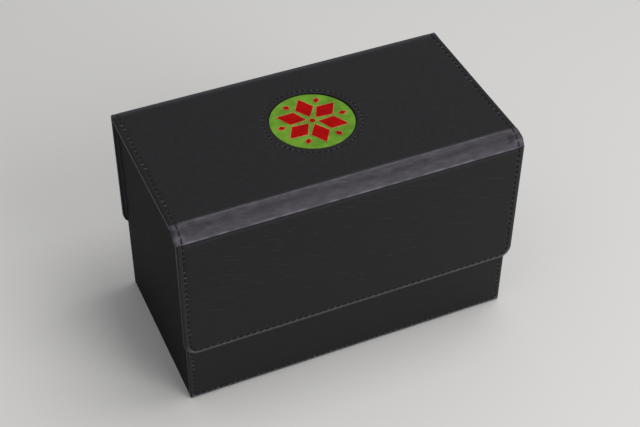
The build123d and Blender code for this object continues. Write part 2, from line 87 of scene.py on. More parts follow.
# ---------------------------------------------------------------------------- colour and nodes
def linear(code: str) -> tuple[float, float, float, float]:
    """Turn an sRGB hex colour into a linear one.

    Args:
        code: the colour, as #RRGGBB.

    Returns:
        Linear red, green and blue, and a full alpha.
    """
    values = [int(code[start : start + 2], 16) / 255 for start in (1, 3, 5)]
    red, green, blue = (v / 12.92 if v <= 0.04045 else ((v + 0.055) / 1.055) ** 2.4 for v in values)
    return red, green, blue, 1.0


def add_node(
    tree: bpy.types.NodeTree, kind: str, settings: dict[str, Any], **inputs: Any
) -> bpy.types.Node:
    """Add one node with its settings, and fill its inputs.

    Args:
        tree: the material's node tree.
        kind: Blender's name of the node.
        settings: properties of the node itself.
        **inputs: a value or an output socket for each input, its spaces written as underscores, or
            in_0, in_1 and so on where inputs share a name.

    Returns:
        The new node.
    """
    node = tree.nodes.new(kind)
    for name, value in settings.items():
        setattr(node, name, value)
    for name, value in inputs.items():
        key = int(name[3:]) if name.startswith("in_") else name.replace("_", " ")
        socket = node.inputs[key]
        if isinstance(value, bpy.types.NodeSocket):
            tree.links.new(value, socket)
        else:
            socket.default_value = value
    return node


class Follow(Enum):
    """What a pattern is fixed to."""

    SPACE = "Object"
    SURFACE = "UV"


@dataclass
class Finish:
    """A material in the making: its node tree, its shader and the coordinates of its patterns."""

    name: str
    follow: Follow = Follow.SPACE
    material: Material = field(init=False)
    tree: bpy.types.NodeTree = field(init=False)
    shader: bpy.types.Node = field(init=False)

    def __post_init__(self) -> None:
        """Start the material."""
        self.material = bpy.data.materials.new(self.name)
        self.material.use_nodes = True
        self.tree = self.material.node_tree
        self.shader = self.tree.nodes["Principled BSDF"]

    def place(self, stretch: Sequence[float] = (1, 1, 1)) -> Any:
        """Coordinates of a pattern in millimetres.

        Args:
            stretch: how far the pattern is drawn out along each axis.

        Returns:
            The socket that carries them.
        """
        coordinates = add_node(self.tree, "ShaderNodeTexCoord", {}).outputs[self.follow.value]
        scale = [1 / MM / value for value in stretch]
        return add_node(self.tree, "ShaderNodeMapping", {}, Vector=coordinates, Scale=scale).outputs["Vector"]

    def noise(self, grain: float, place: Any = None, **inputs: float) -> Any:
        """Noise from 0 to 1.

        Args:
            grain: size of its grains in millimetres.
            place: its coordinates; the finish's own where none are given.
            **inputs: further inputs of the noise.

        Returns:
            The socket that carries it.
        """
        place = place or self.place()
        node = add_node(self.tree, "ShaderNodeTexNoise", {}, Vector=place, Scale=1 / grain, **inputs)
        return node.outputs["Fac"]

    def spread(self, value: Any, source: Sequence[float], target: Sequence[float]) -> Any:
        """Map a value from one range onto another, held at its ends.

        Args:
            value: the socket that carries it.
            source: the range that it comes from.
            target: the range that it is mapped onto.

        Returns:
            The socket that carries the result.
        """
        ends = {"in_1": source[0], "in_2": source[1], "in_3": target[0], "in_4": target[1]}
        return add_node(self.tree, "ShaderNodeMapRange", {}, in_0=value, **ends).outputs[0]

    def mix(self, share: Any, low: Any, high: str) -> Any:
        """Blend one colour into another.

        Args:
            share: socket with the share of the second colour, from 0 to 1.
            low: first colour, as a hex code or a socket.
            high: second colour, as a hex code.

        Returns:
            The socket that carries the blend.
        """
        colours = {"in_6": linear(low) if isinstance(low, str) else low, "in_7": linear(high)}
        kind = {"data_type": "RGBA"}
        return add_node(self.tree, "ShaderNodeMix", kind, in_0=share, **colours).outputs[2]

    def attribute(self, name: str) -> Any:
        """What the mesh carries under a name."""
        return add_node(self.tree, "ShaderNodeAttribute", {"attribute_name": name}).outputs["Fac"]

    def bump(self, height: Any, relief: float, under: Any = None) -> Any:
        """Small relief that the light shows and the outline doesn't.

        Args:
            height: socket with the height, from 0 to 1.
            relief: height in millimetres where the socket gives 1; below zero, the relief is sunk.
            under: bumps that it lies on.

        Returns:
            The socket that carries the normals.
        """
        inputs = {"Height": height, "Strength": 1.0, "Distance": relief * MM}
        if under:
            inputs["Normal"] = under
        return add_node(self.tree, "ShaderNodeBump", {}, **inputs).outputs["Normal"]

    def finished(self, **inputs: Any) -> Material:
        """Fill the shader's inputs.

        Args:
            **inputs: a value or an output socket for each input, its spaces written as underscores.

        Returns:
            The finished material.
        """
        for name, value in inputs.items():
            socket = self.shader.inputs[name.replace("_", " ")]
            if isinstance(value, bpy.types.NodeSocket):
                self.tree.links.new(value, socket)
            else:
                socket.default_value = value
        return self.material


# ---------------------------------------------------------------------------- finishes
@dataclass(frozen=True)
class Leatherette:
    """PU leatherette: a fabric with an embossed, pigmented skin.

    The embossing gives a fine pebble grain and a soft satin gloss that breaks up over each pebble. Edges,
    creases, seam strips and the bumps between stitches are painted paler as highlights, the bottom edges
    also as wear, and stitch holes, grooves and the undersides of edges are painted dark as shade.
    """

    name: str = "embossed_pu_leatherette"
    deep: str = "#161618"
    pale: str = "#1c1c1e"
    # paler colour for painted highlights on edges, creases, seam strips and between stitches, and for wear on
    # bottom edges
    rubbed_and_highlight: str = "#86848c"
    # colour of the painted shade in stitch holes, seam grooves, under the edges, round the disc and along the
    # fold
    hole: str = "#030303"
    pebble: float = 1.1  # grain across a pebble; the real 0.5 mm is too fine to show
    relief: float = 0.04
    swell: float = 30.0  # slow waves of the skin over its board
    swell_relief: float = 0.3
    gloss: tuple[float, float] = (0.42, 0.54)
    specular: float = 0.2
    follow: Follow = Follow.SURFACE
    drawn: float = 1.0  # how far its mottling is drawn out along the surface

    def build(self) -> Material:
        """Make the material."""
        finish = Finish(self.name, self.follow)
        place = finish.place()
        kind = {"feature": "SMOOTH_F1"}
        scale = 1 / self.pebble
        grain = add_node(finish.tree, "ShaderNodeTexVoronoi", kind, Vector=place, Scale=scale, Smoothness=0.7)
        dust = finish.noise(2.8, finish.place((self.drawn, 1.0, 1.0)), Detail=4.0, Roughness=0.6)
        wave = finish.noise(self.swell, place, Detail=2.0, Roughness=0.45)
        base = finish.mix(finish.spread(dust, (0.35, 0.7), (0.0, 1.0)), self.deep, self.pale)
        # painted highlights with some wear, then painted shade, mixed into the colour
        worn_and_lit = finish.mix(finish.attribute("wear_and_highlight"), base, self.rubbed_and_highlight)
        shaded = finish.mix(finish.attribute("painted_shade"), worn_and_lit, self.hole)
        slow = finish.bump(wave, self.swell_relief)
        fine = finish.bump(grain.outputs["Distance"], -self.relief, slow)
        return finish.finished(
            Base_Color=shaded,
            Roughness=finish.spread(dust, (0.3, 0.7), self.gloss),
            Specular_IOR_Level=self.specular,
            Normal=fine,
        )


@dataclass(frozen=True)
class Pile:
    """A cloth face of short upright fibres: velvet, suede-finish paper or felt.

    The fibres scatter light at the rim of every form, so edges look paler than the flat, and the nap lies
    in soft patches.
    """

    name: str
    deep: str
    pale: str
    fibre: float
    patch: float
    sheen: float
    relief: float

    def build(self) -> Material:
        """Make the material."""
        finish = Finish(self.name)
        place = finish.place()
        fibre = finish.noise(self.fibre, place, Detail=3.0)
        patch = finish.noise(self.patch, place, Detail=2.0, Distortion=0.6)
        product = {"operation": "MULTIPLY"}
        both = add_node(finish.tree, "ShaderNodeMath", product, in_0=fibre, in_1=patch).outputs[0]
        return finish.finished(
            Base_Color=finish.mix(finish.spread(both, (0.12, 0.42), (0.0, 1.0)), self.deep, self.pale),
            Roughness=0.95,
            Specular_IOR_Level=0.15,
            Sheen_Weight=self.sheen,
            Sheen_Roughness=0.4,
            Sheen_Tint=linear("#8d8d96"),
            Normal=finish.bump(fibre, self.relief),
        )


@dataclass(frozen=True)
class Fibreboard:
    """Pressed wood fibre: fine flecks in the direction of pressing, matt, raw or wrapped in dyed paper."""

    name: str
    deep: str
    pale: str
    fleck: float = 0.8
    relief: float = 0.03
    rough: float = 0.85

    def build(self) -> Material:
        """Make the material."""
        finish = Finish(self.name)
        fleck = finish.noise(self.fleck, finish.place((3.0, 3.0, 1.0)), Detail=5.0, Roughness=0.7)
        return finish.finished(
            Base_Color=finish.mix(finish.spread(fleck, (0.35, 0.65), (0.0, 1.0)), self.deep, self.pale),
            Roughness=self.rough,
            Specular_IOR_Level=0.25,
            Normal=finish.bump(fleck, self.relief),
        )


@dataclass(frozen=True)
class Plating:
    """Nickel plate on steel: bright metal with faint turning lines and a few dull spots."""

    name: str
    colour: str
    rubbed_and_highlight: str
    gloss: tuple[float, float]
    line: float = 0.25

    def build(self) -> Material:
        """Make the material."""
        finish = Finish(self.name)
        line = finish.noise(self.line, finish.place((8.0, 1.0, 1.0)), Detail=2.0)
        spot = finish.noise(2.0, Detail=4.0)
        return finish.finished(
            Base_Color=finish.mix(finish.spread(spot, (0.4, 0.7), (0.0, 1.0)), self.colour, self.rubbed_and_highlight),
            Roughness=finish.spread(spot, (0.3, 0.7), self.gloss),
            Metallic=1.0,
            Normal=finish.bump(line, 0.01),
        )


@dataclass(frozen=True)
class Vinyl:
    """Soft PVC film, ink or moulded nylon: even colour, faint clouds, and a satin gloss with orange peel."""

    name: str
    deep: str
    pale: str
    gloss: tuple[float, float] = (0.38, 0.5)
    cloud: float = 6.0
    peel: float = 0.7
    relief: float = 0.02
    specular: float = 0.4

    def build(self) -> Material:
        """Make the material."""
        finish = Finish(self.name)
        cloud = finish.noise(self.cloud, Detail=4.0, Roughness=0.6)
        peel = finish.noise(self.peel, Detail=2.0)
        return finish.finished(
            Base_Color=finish.mix(finish.spread(cloud, (0.35, 0.65), (0.0, 1.0)), self.deep, self.pale),
            Roughness=finish.spread(peel, (0.3, 0.7), self.gloss),
            Specular_IOR_Level=self.specular,
            Normal=finish.bump(peel, self.relief),
        )


@dataclass(frozen=True)
class Thread:
    """Bonded polyester sewing thread: three plies twisted together, with a dull gleam along each ply."""

    name: str = "bonded_polyester_thread"
    deep: str = "#040404"
    pale: str = "#141415"
    ply: float = 0.5
    lay: tuple[float, float, float] = (0.6, 0.6, 0.8)  # slant of the plies to the seams, in radians

    def build(self) -> Material:
        """Make the material."""
        finish = Finish(self.name)
        place = finish.place()
        turned = add_node(finish.tree, "ShaderNodeMapping", {}, Vector=place, Rotation=self.lay)
        plies = {"Vector": turned.outputs["Vector"], "Scale": 1 / self.ply, "Distortion": 0.4}
        twist = add_node(finish.tree, "ShaderNodeTexWave", {}, **plies)
        return finish.finished(
            Base_Color=finish.mix(twist.outputs["Fac"], self.deep, self.pale),
            Roughness=0.6,
            Specular_IOR_Level=0.3,
            Normal=finish.bump(twist.outputs["Fac"], 0.06),
        )


def built(recipe: Any) -> Any:
    """A dataclass field whose material is made from its recipe."""
    return field(default_factory=recipe.build)


@dataclass
class Finishes:
    """Every finish of the chest, built once."""

    skin: Material = built(Leatherette())
    # the same leatherette on the casing, a little darker as painted shade, and its faces dull from sliding
    # past the cover
    casing: Material = built(
        Leatherette(
            "casing_pu_leatherette",
            "#131315",
            "#1a1a1c",
            gloss=(0.62, 0.72),
            specular=0.05,
            follow=Follow.SPACE,
        )
    )
    # the same leatherette along a fold, paler and smoother: partly stretched and flexed skin, partly painted
    # highlight of the light that the fold faces
    fold: Material = built(
        Leatherette("flexed_pu_leatherette", "#2e2b31", "#46424a", relief=0.05, swell=5.0, drawn=3.0)
    )
    thread: Material = built(Thread())
    velvet: Material = built(Pile("cotton_velvet", "#0b0b0d", "#1f1f23", 0.35, 14.0, 0.6, 0.25))
    suede: Material = built(Pile("flocked_suede_paper", "#19191b", "#2a2a2d", 0.4, 20.0, 0.35, 0.12))
    felt: Material = built(Pile("pressed_wool_felt", "#101011", "#222224", 0.6, 9.0, 0.3, 0.3))
    board: Material = built(Fibreboard("raw_fibreboard", "#6f5c48", "#8f7a60"))
    black_board: Material = built(
        Fibreboard("paper_wrapped_fibreboard", "#161617", "#242426", 0.5, 0.02, 0.7)
    )
    nickel: Material = built(Plating("nickel_plated_steel", "#b9b6ae", "#8f8c86", (0.22, 0.4)))
    stud: Material = built(Plating("polished_nickel", "#c6c3bb", "#a9a69f", (0.12, 0.24)))
    nylon: Material = built(Vinyl("moulded_nylon", "#161617", "#202022", (0.45, 0.6)))
    green: Material = built(Vinyl("green_soft_vinyl", "#557f1d", "#689829", specular=0.12))
    red: Material = built(Vinyl("red_soft_vinyl", "#900000", "#a80101", specular=0.05))
    gilt: Material = built(Vinyl("gilt_edge_ink", "#8c7740", "#b09c62", (0.3, 0.4), specular=0.2))


# ---------------------------------------------------------------------------- meshes
@dataclass
class Shell:
    """A mesh in the making: points, faces and what lies on each point."""

    points: Array
    faces: list[Array]
    flat: Array | None = None
    values: dict[str, Array] = field(default_factory=dict)
    tints: list[int] = field(default_factory=list)

    def lay(self, name: str, materials: Sequence[Material]) -> bpy.types.Object:
        """Put the mesh into the scene.

        Args:
            name: the piece's name.
            materials: its materials; tints gives the one of each array of faces.

        Returns:
            The new object, at the origin.
        """
        mesh = bpy.data.meshes.new(name)
        corners = np.concatenate([group.ravel() for group in self.faces]).astype(np.int32)
        sizes = np.concatenate([np.full(len(group), group.shape[1]) for group in self.faces])
        starts = np.concatenate([[0], np.cumsum(sizes)[:-1]]).astype(np.int32)
        mesh.vertices.add(len(self.points))
        mesh.vertices.foreach_set("co", (self.points * MM).astype(np.float32).ravel())
        mesh.loops.add(len(corners))
        mesh.loops.foreach_set("vertex_index", corners)
        mesh.polygons.add(len(sizes))
        mesh.polygons.foreach_set("loop_start", starts)
        for material in materials:
            mesh.materials.append(material)
        if self.tints:
            spans = [np.full(len(group), tint) for group, tint in zip(self.faces, self.tints)]
            mesh.polygons.foreach_set("material_index", np.concatenate(spans).astype(np.int32))
        mesh.update(calc_edges=True)
        mesh.validate()
        mesh.polygons.foreach_set("use_smooth", np.ones(len(mesh.polygons), dtype=bool))
        mesh.set_sharp_from_angle(angle=math.radians(50))
        if self.flat is not None:
            layer = mesh.uv_layers.new(name="surface")
            layer.data.foreach_set("uv", (self.flat[corners] * MM).astype(np.float32).ravel())
        for key, value in self.values.items():
            attribute = mesh.attributes.new(key, "FLOAT", "POINT")
            attribute.data.foreach_set("value", value.astype(np.float32))
        piece = bpy.data.objects.new(name, mesh)
        bpy.context.scene.collection.objects.link(piece)
        return piece

    def outward(self) -> "Shell":
        """Turn a closed shell's faces outwards: the volume that they enclose has to be positive."""
        volume = 0.0
        for group in self.faces:
            corners = self.points[group]
            for index in range(1, group.shape[1] - 1):
                cross = np.cross(corners[:, index], corners[:, index + 1])
                volume += float(np.einsum("ij,ij->", corners[:, 0], cross))
        if volume < 0:
            self.faces = [group[:, ::-1] for group in self.faces]
        return self


def joined(shells: Sequence[Shell]) -> Shell:
    """One mesh out of several, their points numbered on.

    Args:
        shells: the meshes.

    Returns:
        The mesh of all of them, with neither flat places nor values.
    """
    offsets = np.cumsum([0] + [len(shell.points) for shell in shells])
    faces = [group + offset for shell, offset in zip(shells, offsets) for group in shell.faces]
    return Shell(np.concatenate([shell.points for shell in shells]), faces)


def grid_quads(rows: int, columns: int, first: int = 0, wrap: bool = False, loop: bool = False) -> Array:
    """Corners of the quads of a grid whose points are numbered row by row.

    Args:
        rows: number of rows.
        columns: number of columns.
        first: number of the first point.
        wrap: whether each row closes on itself.
        loop: whether the last row joins the first.

    Returns:
        One row of four point numbers for each quad, anticlockwise where rows go up and columns right.
    """
    row = np.arange(rows if loop else rows - 1)[:, None]
    column = np.arange(columns if wrap else columns - 1)[None, :]
    above = ((row + 1) % rows) * columns
    here = row * columns
    after = (column + 1) % columns
    corners = [here + column, here + after, above + after, above + column]
    return first + np.stack(corners, axis=-1).reshape(-1, 4)


def ramp(value: Array, low: float, high: float) -> Array:
    """Smooth step from 0 at low to 1 at high: 3t^2 - 2t^3 of the held share t."""
    share = np.clip((value - low) / (high - low), 0.0, 1.0)
    return share * share * (3 - 2 * share)


def bell(value: Array, width: float) -> Array:
    """A Gaussian hump: exp(-(value / width)^2)."""
    return np.exp(-((value / width) ** 2))


def stations(stops: Sequence[tuple[float, float]]) -> Array:
    """Places along a line, with a spacing of their own in each stretch.

    Args:
        stops: the end of each stretch with the spacing that leads up to it; the first only starts the line.

    Returns:
        The places, in order, each stop among them.
    """
    places = [np.array([stops[0][0]])]
    for (start, _), (end, step) in zip(stops, stops[1:]):
        count = max(1, math.ceil(abs(end - start) / step))
        places.append(np.linspace(start, end, count + 1)[1:])
    return np.concatenate(places)


class Surface(Protocol):
    """Something that carries flat places, with a height above it, into space."""

    def at(self, flat: Array, height: Array) -> Array:
        """Points in space."""


@dataclass(frozen=True)
class Place:
    """A flat frame in space: an origin, two directions along the surface and one out of it."""

    origin: tuple[float, float, float]
    along: tuple[float, float, float]
    up: tuple[float, float, float]
    out: tuple[float, float, float]

    def at(self, flat: Array, height: Array) -> Array:
        """Points of the frame: origin + x along + y up + height out.

        Args:
            flat: x and y of each point.
            height: how far each lies out of the frame.

        Returns:
            The points in space.
        """
        frame = np.array([self.along, self.up, self.out], dtype=float)
        local = np.concatenate([flat, np.asarray(height)[..., None]], axis=-1)
        return np.array(self.origin, dtype=float) + local @ frame


# ---------------------------------------------------------------------------- seams
@dataclass
class Seam:
    """A row of lockstitches along a flat path, with its dents in the skin.

    Each stitch is a thread that rises from one hole, lies on the skin and dives into the next. The skin is
    drawn in along the whole seam, most at the holes, and stands up a little between two stitches.
    """

    path: Array
    pitch: float = 3.6
    cover: float = 0.66  # share of the pitch under thread
    slant: float = 5.0
    thread: float = 0.25
    dent: float = 0.34
    furrow: float = 0.8  # width over which the skin is drawn in
    groove: float = 0.36  # width of the dent under a thread
    hole: float = 0.38  # width of a needle's hole
    bulge: float = 0.1  # height of the skin between two stitches
    gleam: float = 0.8  # brightest painted glint between two stitches
    centres: Array = field(init=False)
    ways: Array = field(init=False)
    gleams: Array = field(init=False)

    def __post_init__(self) -> None:
        """Share the path's length into whole stitches, each with its centre and its direction."""
        run = np.concatenate([[0.0], np.cumsum(np.hypot(*np.diff(self.path, axis=0).T))])
        count = max(1, round(run[-1] / self.pitch))
        self.pitch = run[-1] / count
        middles = (np.arange(count) + 0.5) * self.pitch
        half = self.pitch * self.cover / 2
        first, last = (
            np.stack([np.interp(middles + shift, run, axis) for axis in self.path.T], -1)
            for shift in (-half, half)
        )
        way = (last - first) / np.linalg.norm(last - first, axis=1, keepdims=True)
        turn = math.radians(self.slant)
        self.centres = (first + last) / 2
        self.ways = way @ np.array([[math.cos(turn), math.sin(turn)], [-math.sin(turn), math.cos(turn)]])
        # a few stitches gleam, and most hardly do
        luck = np.random.default_rng(SEED + count).random(count)
        self.gleams = self.gleam * (0.12 + 0.88 * luck**2.5)

    def press(self, flat: Array) -> tuple[Array, Array, Array]:
        """Shape of the skin along the seam.

        Across a stitch the dent is a Gaussian, held along its length. Each end adds a round hole. Halfway
        to the next stitch the skin bulges.

        Args:
            flat: points on the flat frame.

        Returns:
            Height in millimetres, painted shade in holes and grooves, and a painted glint on a bulge, for
            each point.
        """
        height, hole, gleam = np.zeros((3, len(flat)))
        half = self.pitch * self.cover / 2
        low = self.centres.min(axis=0) - self.pitch
        high = self.centres.max(axis=0) + self.pitch
        near = np.flatnonzero(np.all((flat > low) & (flat < high), axis=1))
        for part in np.array_split(near, max(1, len(near) // 8000)):
            away = flat[part, None, :] - self.centres[None]
            along = np.abs(np.einsum("psk,sk->ps", away, self.ways))
            across = away[..., 0] * self.ways[:, 1] - away[..., 1] * self.ways[:, 0]
            far = self.pitch / 2  # halfway to the next stitch
            furrow = bell(across, self.furrow) * (1 - ramp(along, far, far + self.furrow))
            groove = bell(across, self.groove) * (1 - ramp(along, half - 0.2, half + 0.3))
            round_hole = bell(along - half, self.hole) * bell(across, self.hole)
            between = bell(along - far, 0.3) * bell(across, 0.36)
            depth = 0.45 * furrow.max(axis=1) + 0.55 * np.maximum(0.7 * groove, round_hole).max(axis=1)
            # painted shade in the needle holes and along the grooves under the threads
            hole[part] = np.maximum(round_hole, 0.95 * groove).max(axis=1)
            # painted glint where the skin bulges between stitches
            gleam[part] = (between * self.gleams).max(axis=1)
            height[part] = self.bulge * between.max(axis=1) - self.dent * depth
        return height, hole, gleam

    def threads(self, surface: Surface, height: float) -> Shell:
        """Every stitch's thread: a six-sided tube whose middle line arches and whose ends dive.

        Args:
            surface: what the seam lies on.
            height: height of the skin above that surface.

        Returns:
            The mesh of all the threads.
        """
        rings, sides = 7, 6
        step = np.linspace(-1, 1, rings)
        angle = np.linspace(0, 2 * np.pi, sides, endpoint=False)
        radius = self.thread * np.sqrt(1 - 0.6 * step**6)
        rise = 0.08 - 0.45 * step**4 - self.dent * 0.5
        along = np.repeat(step * self.pitch * self.cover / 2, sides)
        across = (radius[:, None] * np.cos(angle)).ravel()
        above = (rise[:, None] + radius[:, None] * np.sin(angle)).ravel()
        side = np.stack([self.ways[:, 1], -self.ways[:, 0]], -1)
        flat = self.centres[:, None] + along[None, :, None] * self.ways[:, None]
        flat = flat + across[None, :, None] * side[:, None]
        points = surface.at(flat, np.broadcast_to(height + above, flat.shape[:2])).reshape(-1, 3)
        firsts = np.arange(len(self.centres))[:, None, None] * rings * sides
        quads = (firsts + grid_quads(rings, sides, wrap=True)[None]).reshape(-1, 4)
        start = np.arange(sides)[::-1]
        end = np.arange(sides) + (rings - 1) * sides
        caps = (firsts + np.stack([start, end])[None]).reshape(-1, sides)
        return Shell(points, [quads, caps]).outward()


def edge_path(half: float, top: float, bottom: float, radius: float) -> Array:
    """A seam's way down the left side, along the bottom and up the right side.

    Args:
        half: how far the sides lie from the middle.
        top: height of both ends.
        bottom: height of the bottom.
        radius: radius of the quarter circles at the corners.

    Returns:
        The points of the way.
    """
    angle = np.linspace(0, np.pi / 2, 13)
    arc = np.stack([-half + radius * (1 - np.cos(angle)), bottom + radius * (1 - np.sin(angle))], -1)
    left = np.concatenate([[(-half, top)], arc])
    return np.concatenate([left, left[::-1] * (-1, 1)])


@dataclass(frozen=True)
class Creases:
    """Fine short creases of the skin, scattered over a field and closer together towards its end.

    Flexing the wrap leaves them slightly aslant, all nearly the same way.
    """

    count: int
    low: tuple[float, float]
    high: tuple[float, float]
    slope: float = -0.36
    crowd: float = 2.0
    height: float = 0.3
    width: float = 0.36
    seed: int = SEED

    def relief(self, flat: Array) -> tuple[Array, Array]:
        """Height of the creases at each point, and the painted highlight along their ridges.

        A crease is a Gaussian ridge across a gently bent line, fading to both ends as (1 - t^2)^2.

        Args:
            flat: points of the field.

        Returns:
            The height in millimetres, and a share from 0 to 1.
        """
        dice = np.random.default_rng(self.seed)
        height, crease_highlight = np.zeros((2, len(flat)))
        shortest, spare = 1.6, 6.4  # half length of the shortest crease, and how much more the longest has
        for _ in range(self.count):
            x = dice.uniform(self.low[0], self.high[0])
            y = self.low[1] + (self.high[1] - self.low[1]) * dice.power(self.crowd)
            reach = shortest + spare * dice.power(0.6)
            slope, bend = self.slope + dice.normal(0.0, 0.06), dice.normal(0.0, 0.012)
            strength = 0.15 + 0.85 * dice.random() ** 1.6
            step = flat[:, 0] - x
            near = np.flatnonzero((np.abs(step) < reach) & (np.abs(flat[:, 1] - y) < reach))
            step = step[near]
            across = flat[near, 1] - y - slope * step - bend * step**2
            fade = strength * (1 - (step / reach) ** 2) ** 2 * bell(across, self.width)
            height[near] += self.height * fade
            # painted highlight along each crease's ridge
            crease_highlight[near] = np.maximum(crease_highlight[near], fade)
        return height, crease_highlight


# ---------------------------------------------------------------------------- skins over panels
@dataclass
class Skin:
    """Leatherette over a board: an outer face, a rolled edge, and a turned-in rim.

    The face is a grid over the outline, drawn in by the roll. Towards its border it sags. At the border
    the surface turns over a quarter circle, drops to the inner face, and comes back inside the rim.
    """

    place: Place
    width: float
    height: float
    thickness: float
    leather: float
    roll: float
    corner: float = 0.0
    seams: list[Seam] = field(default_factory=list)
    creases: Creases | None = None
    edge_wear_and_highlight: float = 0.22  # painted highlight and wear along the bottom edge's roll; the other edges keep their skin
    turn_in: float = 0.7
    # painted light on the turned-in strip, which lies in shade
    tucked_painted_light: float = 0.0
    edge_shade: float = 1.0  # how strongly the glued edge is painted dark as shade
    step: tuple[float, float] = (0.6, 0.4)
    sag: float = 0.2
    sag_reach: float = 2.2  # how far in from the border the face sags
    hem: float = 0.0  # from the face's bottom border up to the bottom seam
    bead: tuple[float, float, float] = (0.1, 0.55, 0.34)  # beside the bottom seam: height, offset, width
    # painted highlight on the bead beside the bottom seam
    bead_highlight: float = 0.3
    strip_highlight: tuple[float, float] = (0.035, 0.13)  # painted highlight outside the seams, and how much more at the bottom
    under: float = 0.5  # rounding of the inner edge

    @property
    def reach(self) -> float:
        """Half width of the drawn-in face."""
        return self.width / 2 - self.roll

    @property
    def rise(self) -> float:
        """Half height of the drawn-in face."""
        return self.height / 2 - self.roll

    @property
    def radius(self) -> float:
        """Radius of its lower corners."""
        return max(self.corner - self.roll, 0.0)

    def inside(self, flat: Array) -> Array:
        """Distance of each point of the face from its border, round the lower corners too.

        Args:
            flat: points of the face.

        Returns:
            The distance in millimetres, below zero outside the border.
        """
        across = self.reach - np.abs(flat[:, 0])
        above = flat[:, 1] + self.rise
        edge = np.minimum(np.minimum(across, above), self.rise - flat[:, 1])
        round_part = (across < self.radius) & (above < self.radius)
        return np.where(round_part, self.radius - np.hypot(self.radius - across, self.radius - above), edge)

    def relief(self, flat: Array) -> tuple[Array, Array, Array]:
        """Height, painted highlight and painted shade of the face at its points.

        Within a few millimetres of the border the face sags by the square of the way, unevenly along it.
        The strip outside a seam swells and is painted paler as a highlight, most along the bottom and on a
        bead beside the seam.

        Args:
            flat: points of the face.

        Returns:
            Height in millimetres, and painted highlight and painted shade from 0 to 1.
        """
        edge = self.inside(flat)
        waver = 1 + 0.25 * np.sin(flat[:, 0] / 11 + 1.3) + 0.2 * np.sin(flat[:, 0] / 4.3 + flat[:, 1] / 9)
        height = -self.sag * waver * np.clip(1 - edge / self.sag_reach, 0, 1) ** 2
        wear_and_highlight, painted_shade = np.zeros((2, len(flat)))
        if self.seams:
            height += 0.09 * bell(edge - 1.0, 0.55)
        if self.hem:
            lower = 1 - ramp(flat[:, 1] + self.rise, self.hem + 0.5, self.radius + 2.0)
            strip = 1 - ramp(edge, self.hem - 0.45, self.hem)
            ripple = 0.75 + 0.25 * np.sin(flat[:, 0] * 1.9) * np.sin(flat[:, 0] * 0.43 + 1.0)
            high, offset, wide = self.bead
            bead = ripple * bell(edge - (self.hem - offset), wide)
            side_highlight, bottom_highlight = self.strip_highlight
            height += high * lower * bead
            # painted highlight on the strip outside the seams and on the bead
            wear_and_highlight = strip * (side_highlight + bottom_highlight * lower) + self.bead_highlight * lower * bead
        for seam in self.seams:
            dent, hole, gleam = seam.press(flat)
            height += dent
            # painted glints between stitches, and painted shade in holes and grooves
            wear_and_highlight = np.maximum(wear_and_highlight, gleam)
            painted_shade = np.maximum(painted_shade, hole)
        if self.creases:
            ridge, crease_highlight = self.creases.relief(flat)
            height += ridge * ramp(edge, 0.0, 1.5)
            # painted highlight along the creases' ridges
            wear_and_highlight = np.maximum(wear_and_highlight, 0.05 * crease_highlight)
        return height, wear_and_highlight, painted_shade

    def outwards(self, border: Array) -> Array:
        """Direction outwards: square to a side, radial round a corner, and both at a sharp corner.

        Args:
            border: points of the face's border.

        Returns:
            The direction at each of them.
        """
        tiny = 1e-6
        low = self.radius - self.rise
        x, y = border.T
        upright = np.where(y > self.rise - tiny, 1.0, np.where(y < tiny - self.rise, -1.0, 0.0))
        normals = np.stack([np.where(np.abs(x) > self.reach - tiny, np.sign(x), 0.0), upright], -1)
        centre = np.stack([np.sign(x) * (self.reach - self.radius), np.full_like(x, low)], -1)
        round_part = (y < low - tiny) & (np.abs(x) > self.reach - self.radius + tiny)
        normals[round_part] = (border - centre)[round_part] / max(self.radius, tiny)
        return normals

    def rim(self, border: Array, swell: Array) -> tuple[Array, Array, Array, Array, Array]:
        """Rings from the face's border round the edge and back under the face.

        The edge is painted darker as shade the further it turns away, except along the bottom, where its roll
        is painted paler as a highlight and wear. Its inner half, where the turned-in leather is glued down,
        gets the darkest painted shade.

        Args:
            border: points of the face's border, in order round the outline.
            swell: how high the face stands at each of them.

        Returns:
            Flat places, heights, flat places for the pattern, painted highlight with wear, and painted shade,
            each ring by ring.
        """
        over = np.linspace(0, np.pi / 2, 6)[1:]
        under = np.linspace(0, np.pi / 2, 4)[1:]
        inner, tuck = self.roll - self.turn_in, self.roll - self.leather
        lap = self.thickness - self.leather
        fall = self.thickness - self.roll * (1 - np.cos(over))
        back = self.roll - self.under * (1 - np.cos(under))
        away, wall, low_wall, under_shade, tucked_in = 0.75, 0.6, 0.7, 0.85, 0.3  # painted shade from outside to inside
        rows = [
            *zip(self.roll * np.sin(over), fall, away * np.sin(over) ** 2),
            (self.roll, self.thickness / 2, wall),
            (self.roll, self.under, low_wall),
            *zip(back, self.under * (1 - np.sin(under)), [under_shade] * 3),
            (inner, -0.04, tucked_in),
            (inner, 0.05, tucked_in),
            (tuck, 0.05, tucked_in),
            (tuck, lap, 0.0),
        ]
        out, high, dark = np.array(rows).T
        run = np.concatenate([[out[0]], out[0] + np.cumsum(np.hypot(np.diff(out), np.diff(high)))])
        share = np.concatenate([np.cos(over), np.zeros(len(rows) - 5)])
        # painted highlight and wear on the bottom's roll, and painted light on the turned-in strip
        rim_wear_and_highlight = np.concatenate([self.edge_wear_and_highlight * np.sin(2 * over), np.zeros(len(rows) - 5)])
        tucked_light = np.concatenate([np.zeros(10), np.full(2, self.tucked_painted_light), np.zeros(2)])
        normals = self.outwards(border)
        flat = border[None] + out[:, None, None] * normals[None]
        pattern = border[None] + run[:, None, None] * normals[None]
        lower = np.clip(-normals[:, 1], 0.0, 1.0)
        rim_wear_and_highlight = rim_wear_and_highlight[:, None] * lower + tucked_light[:, None]
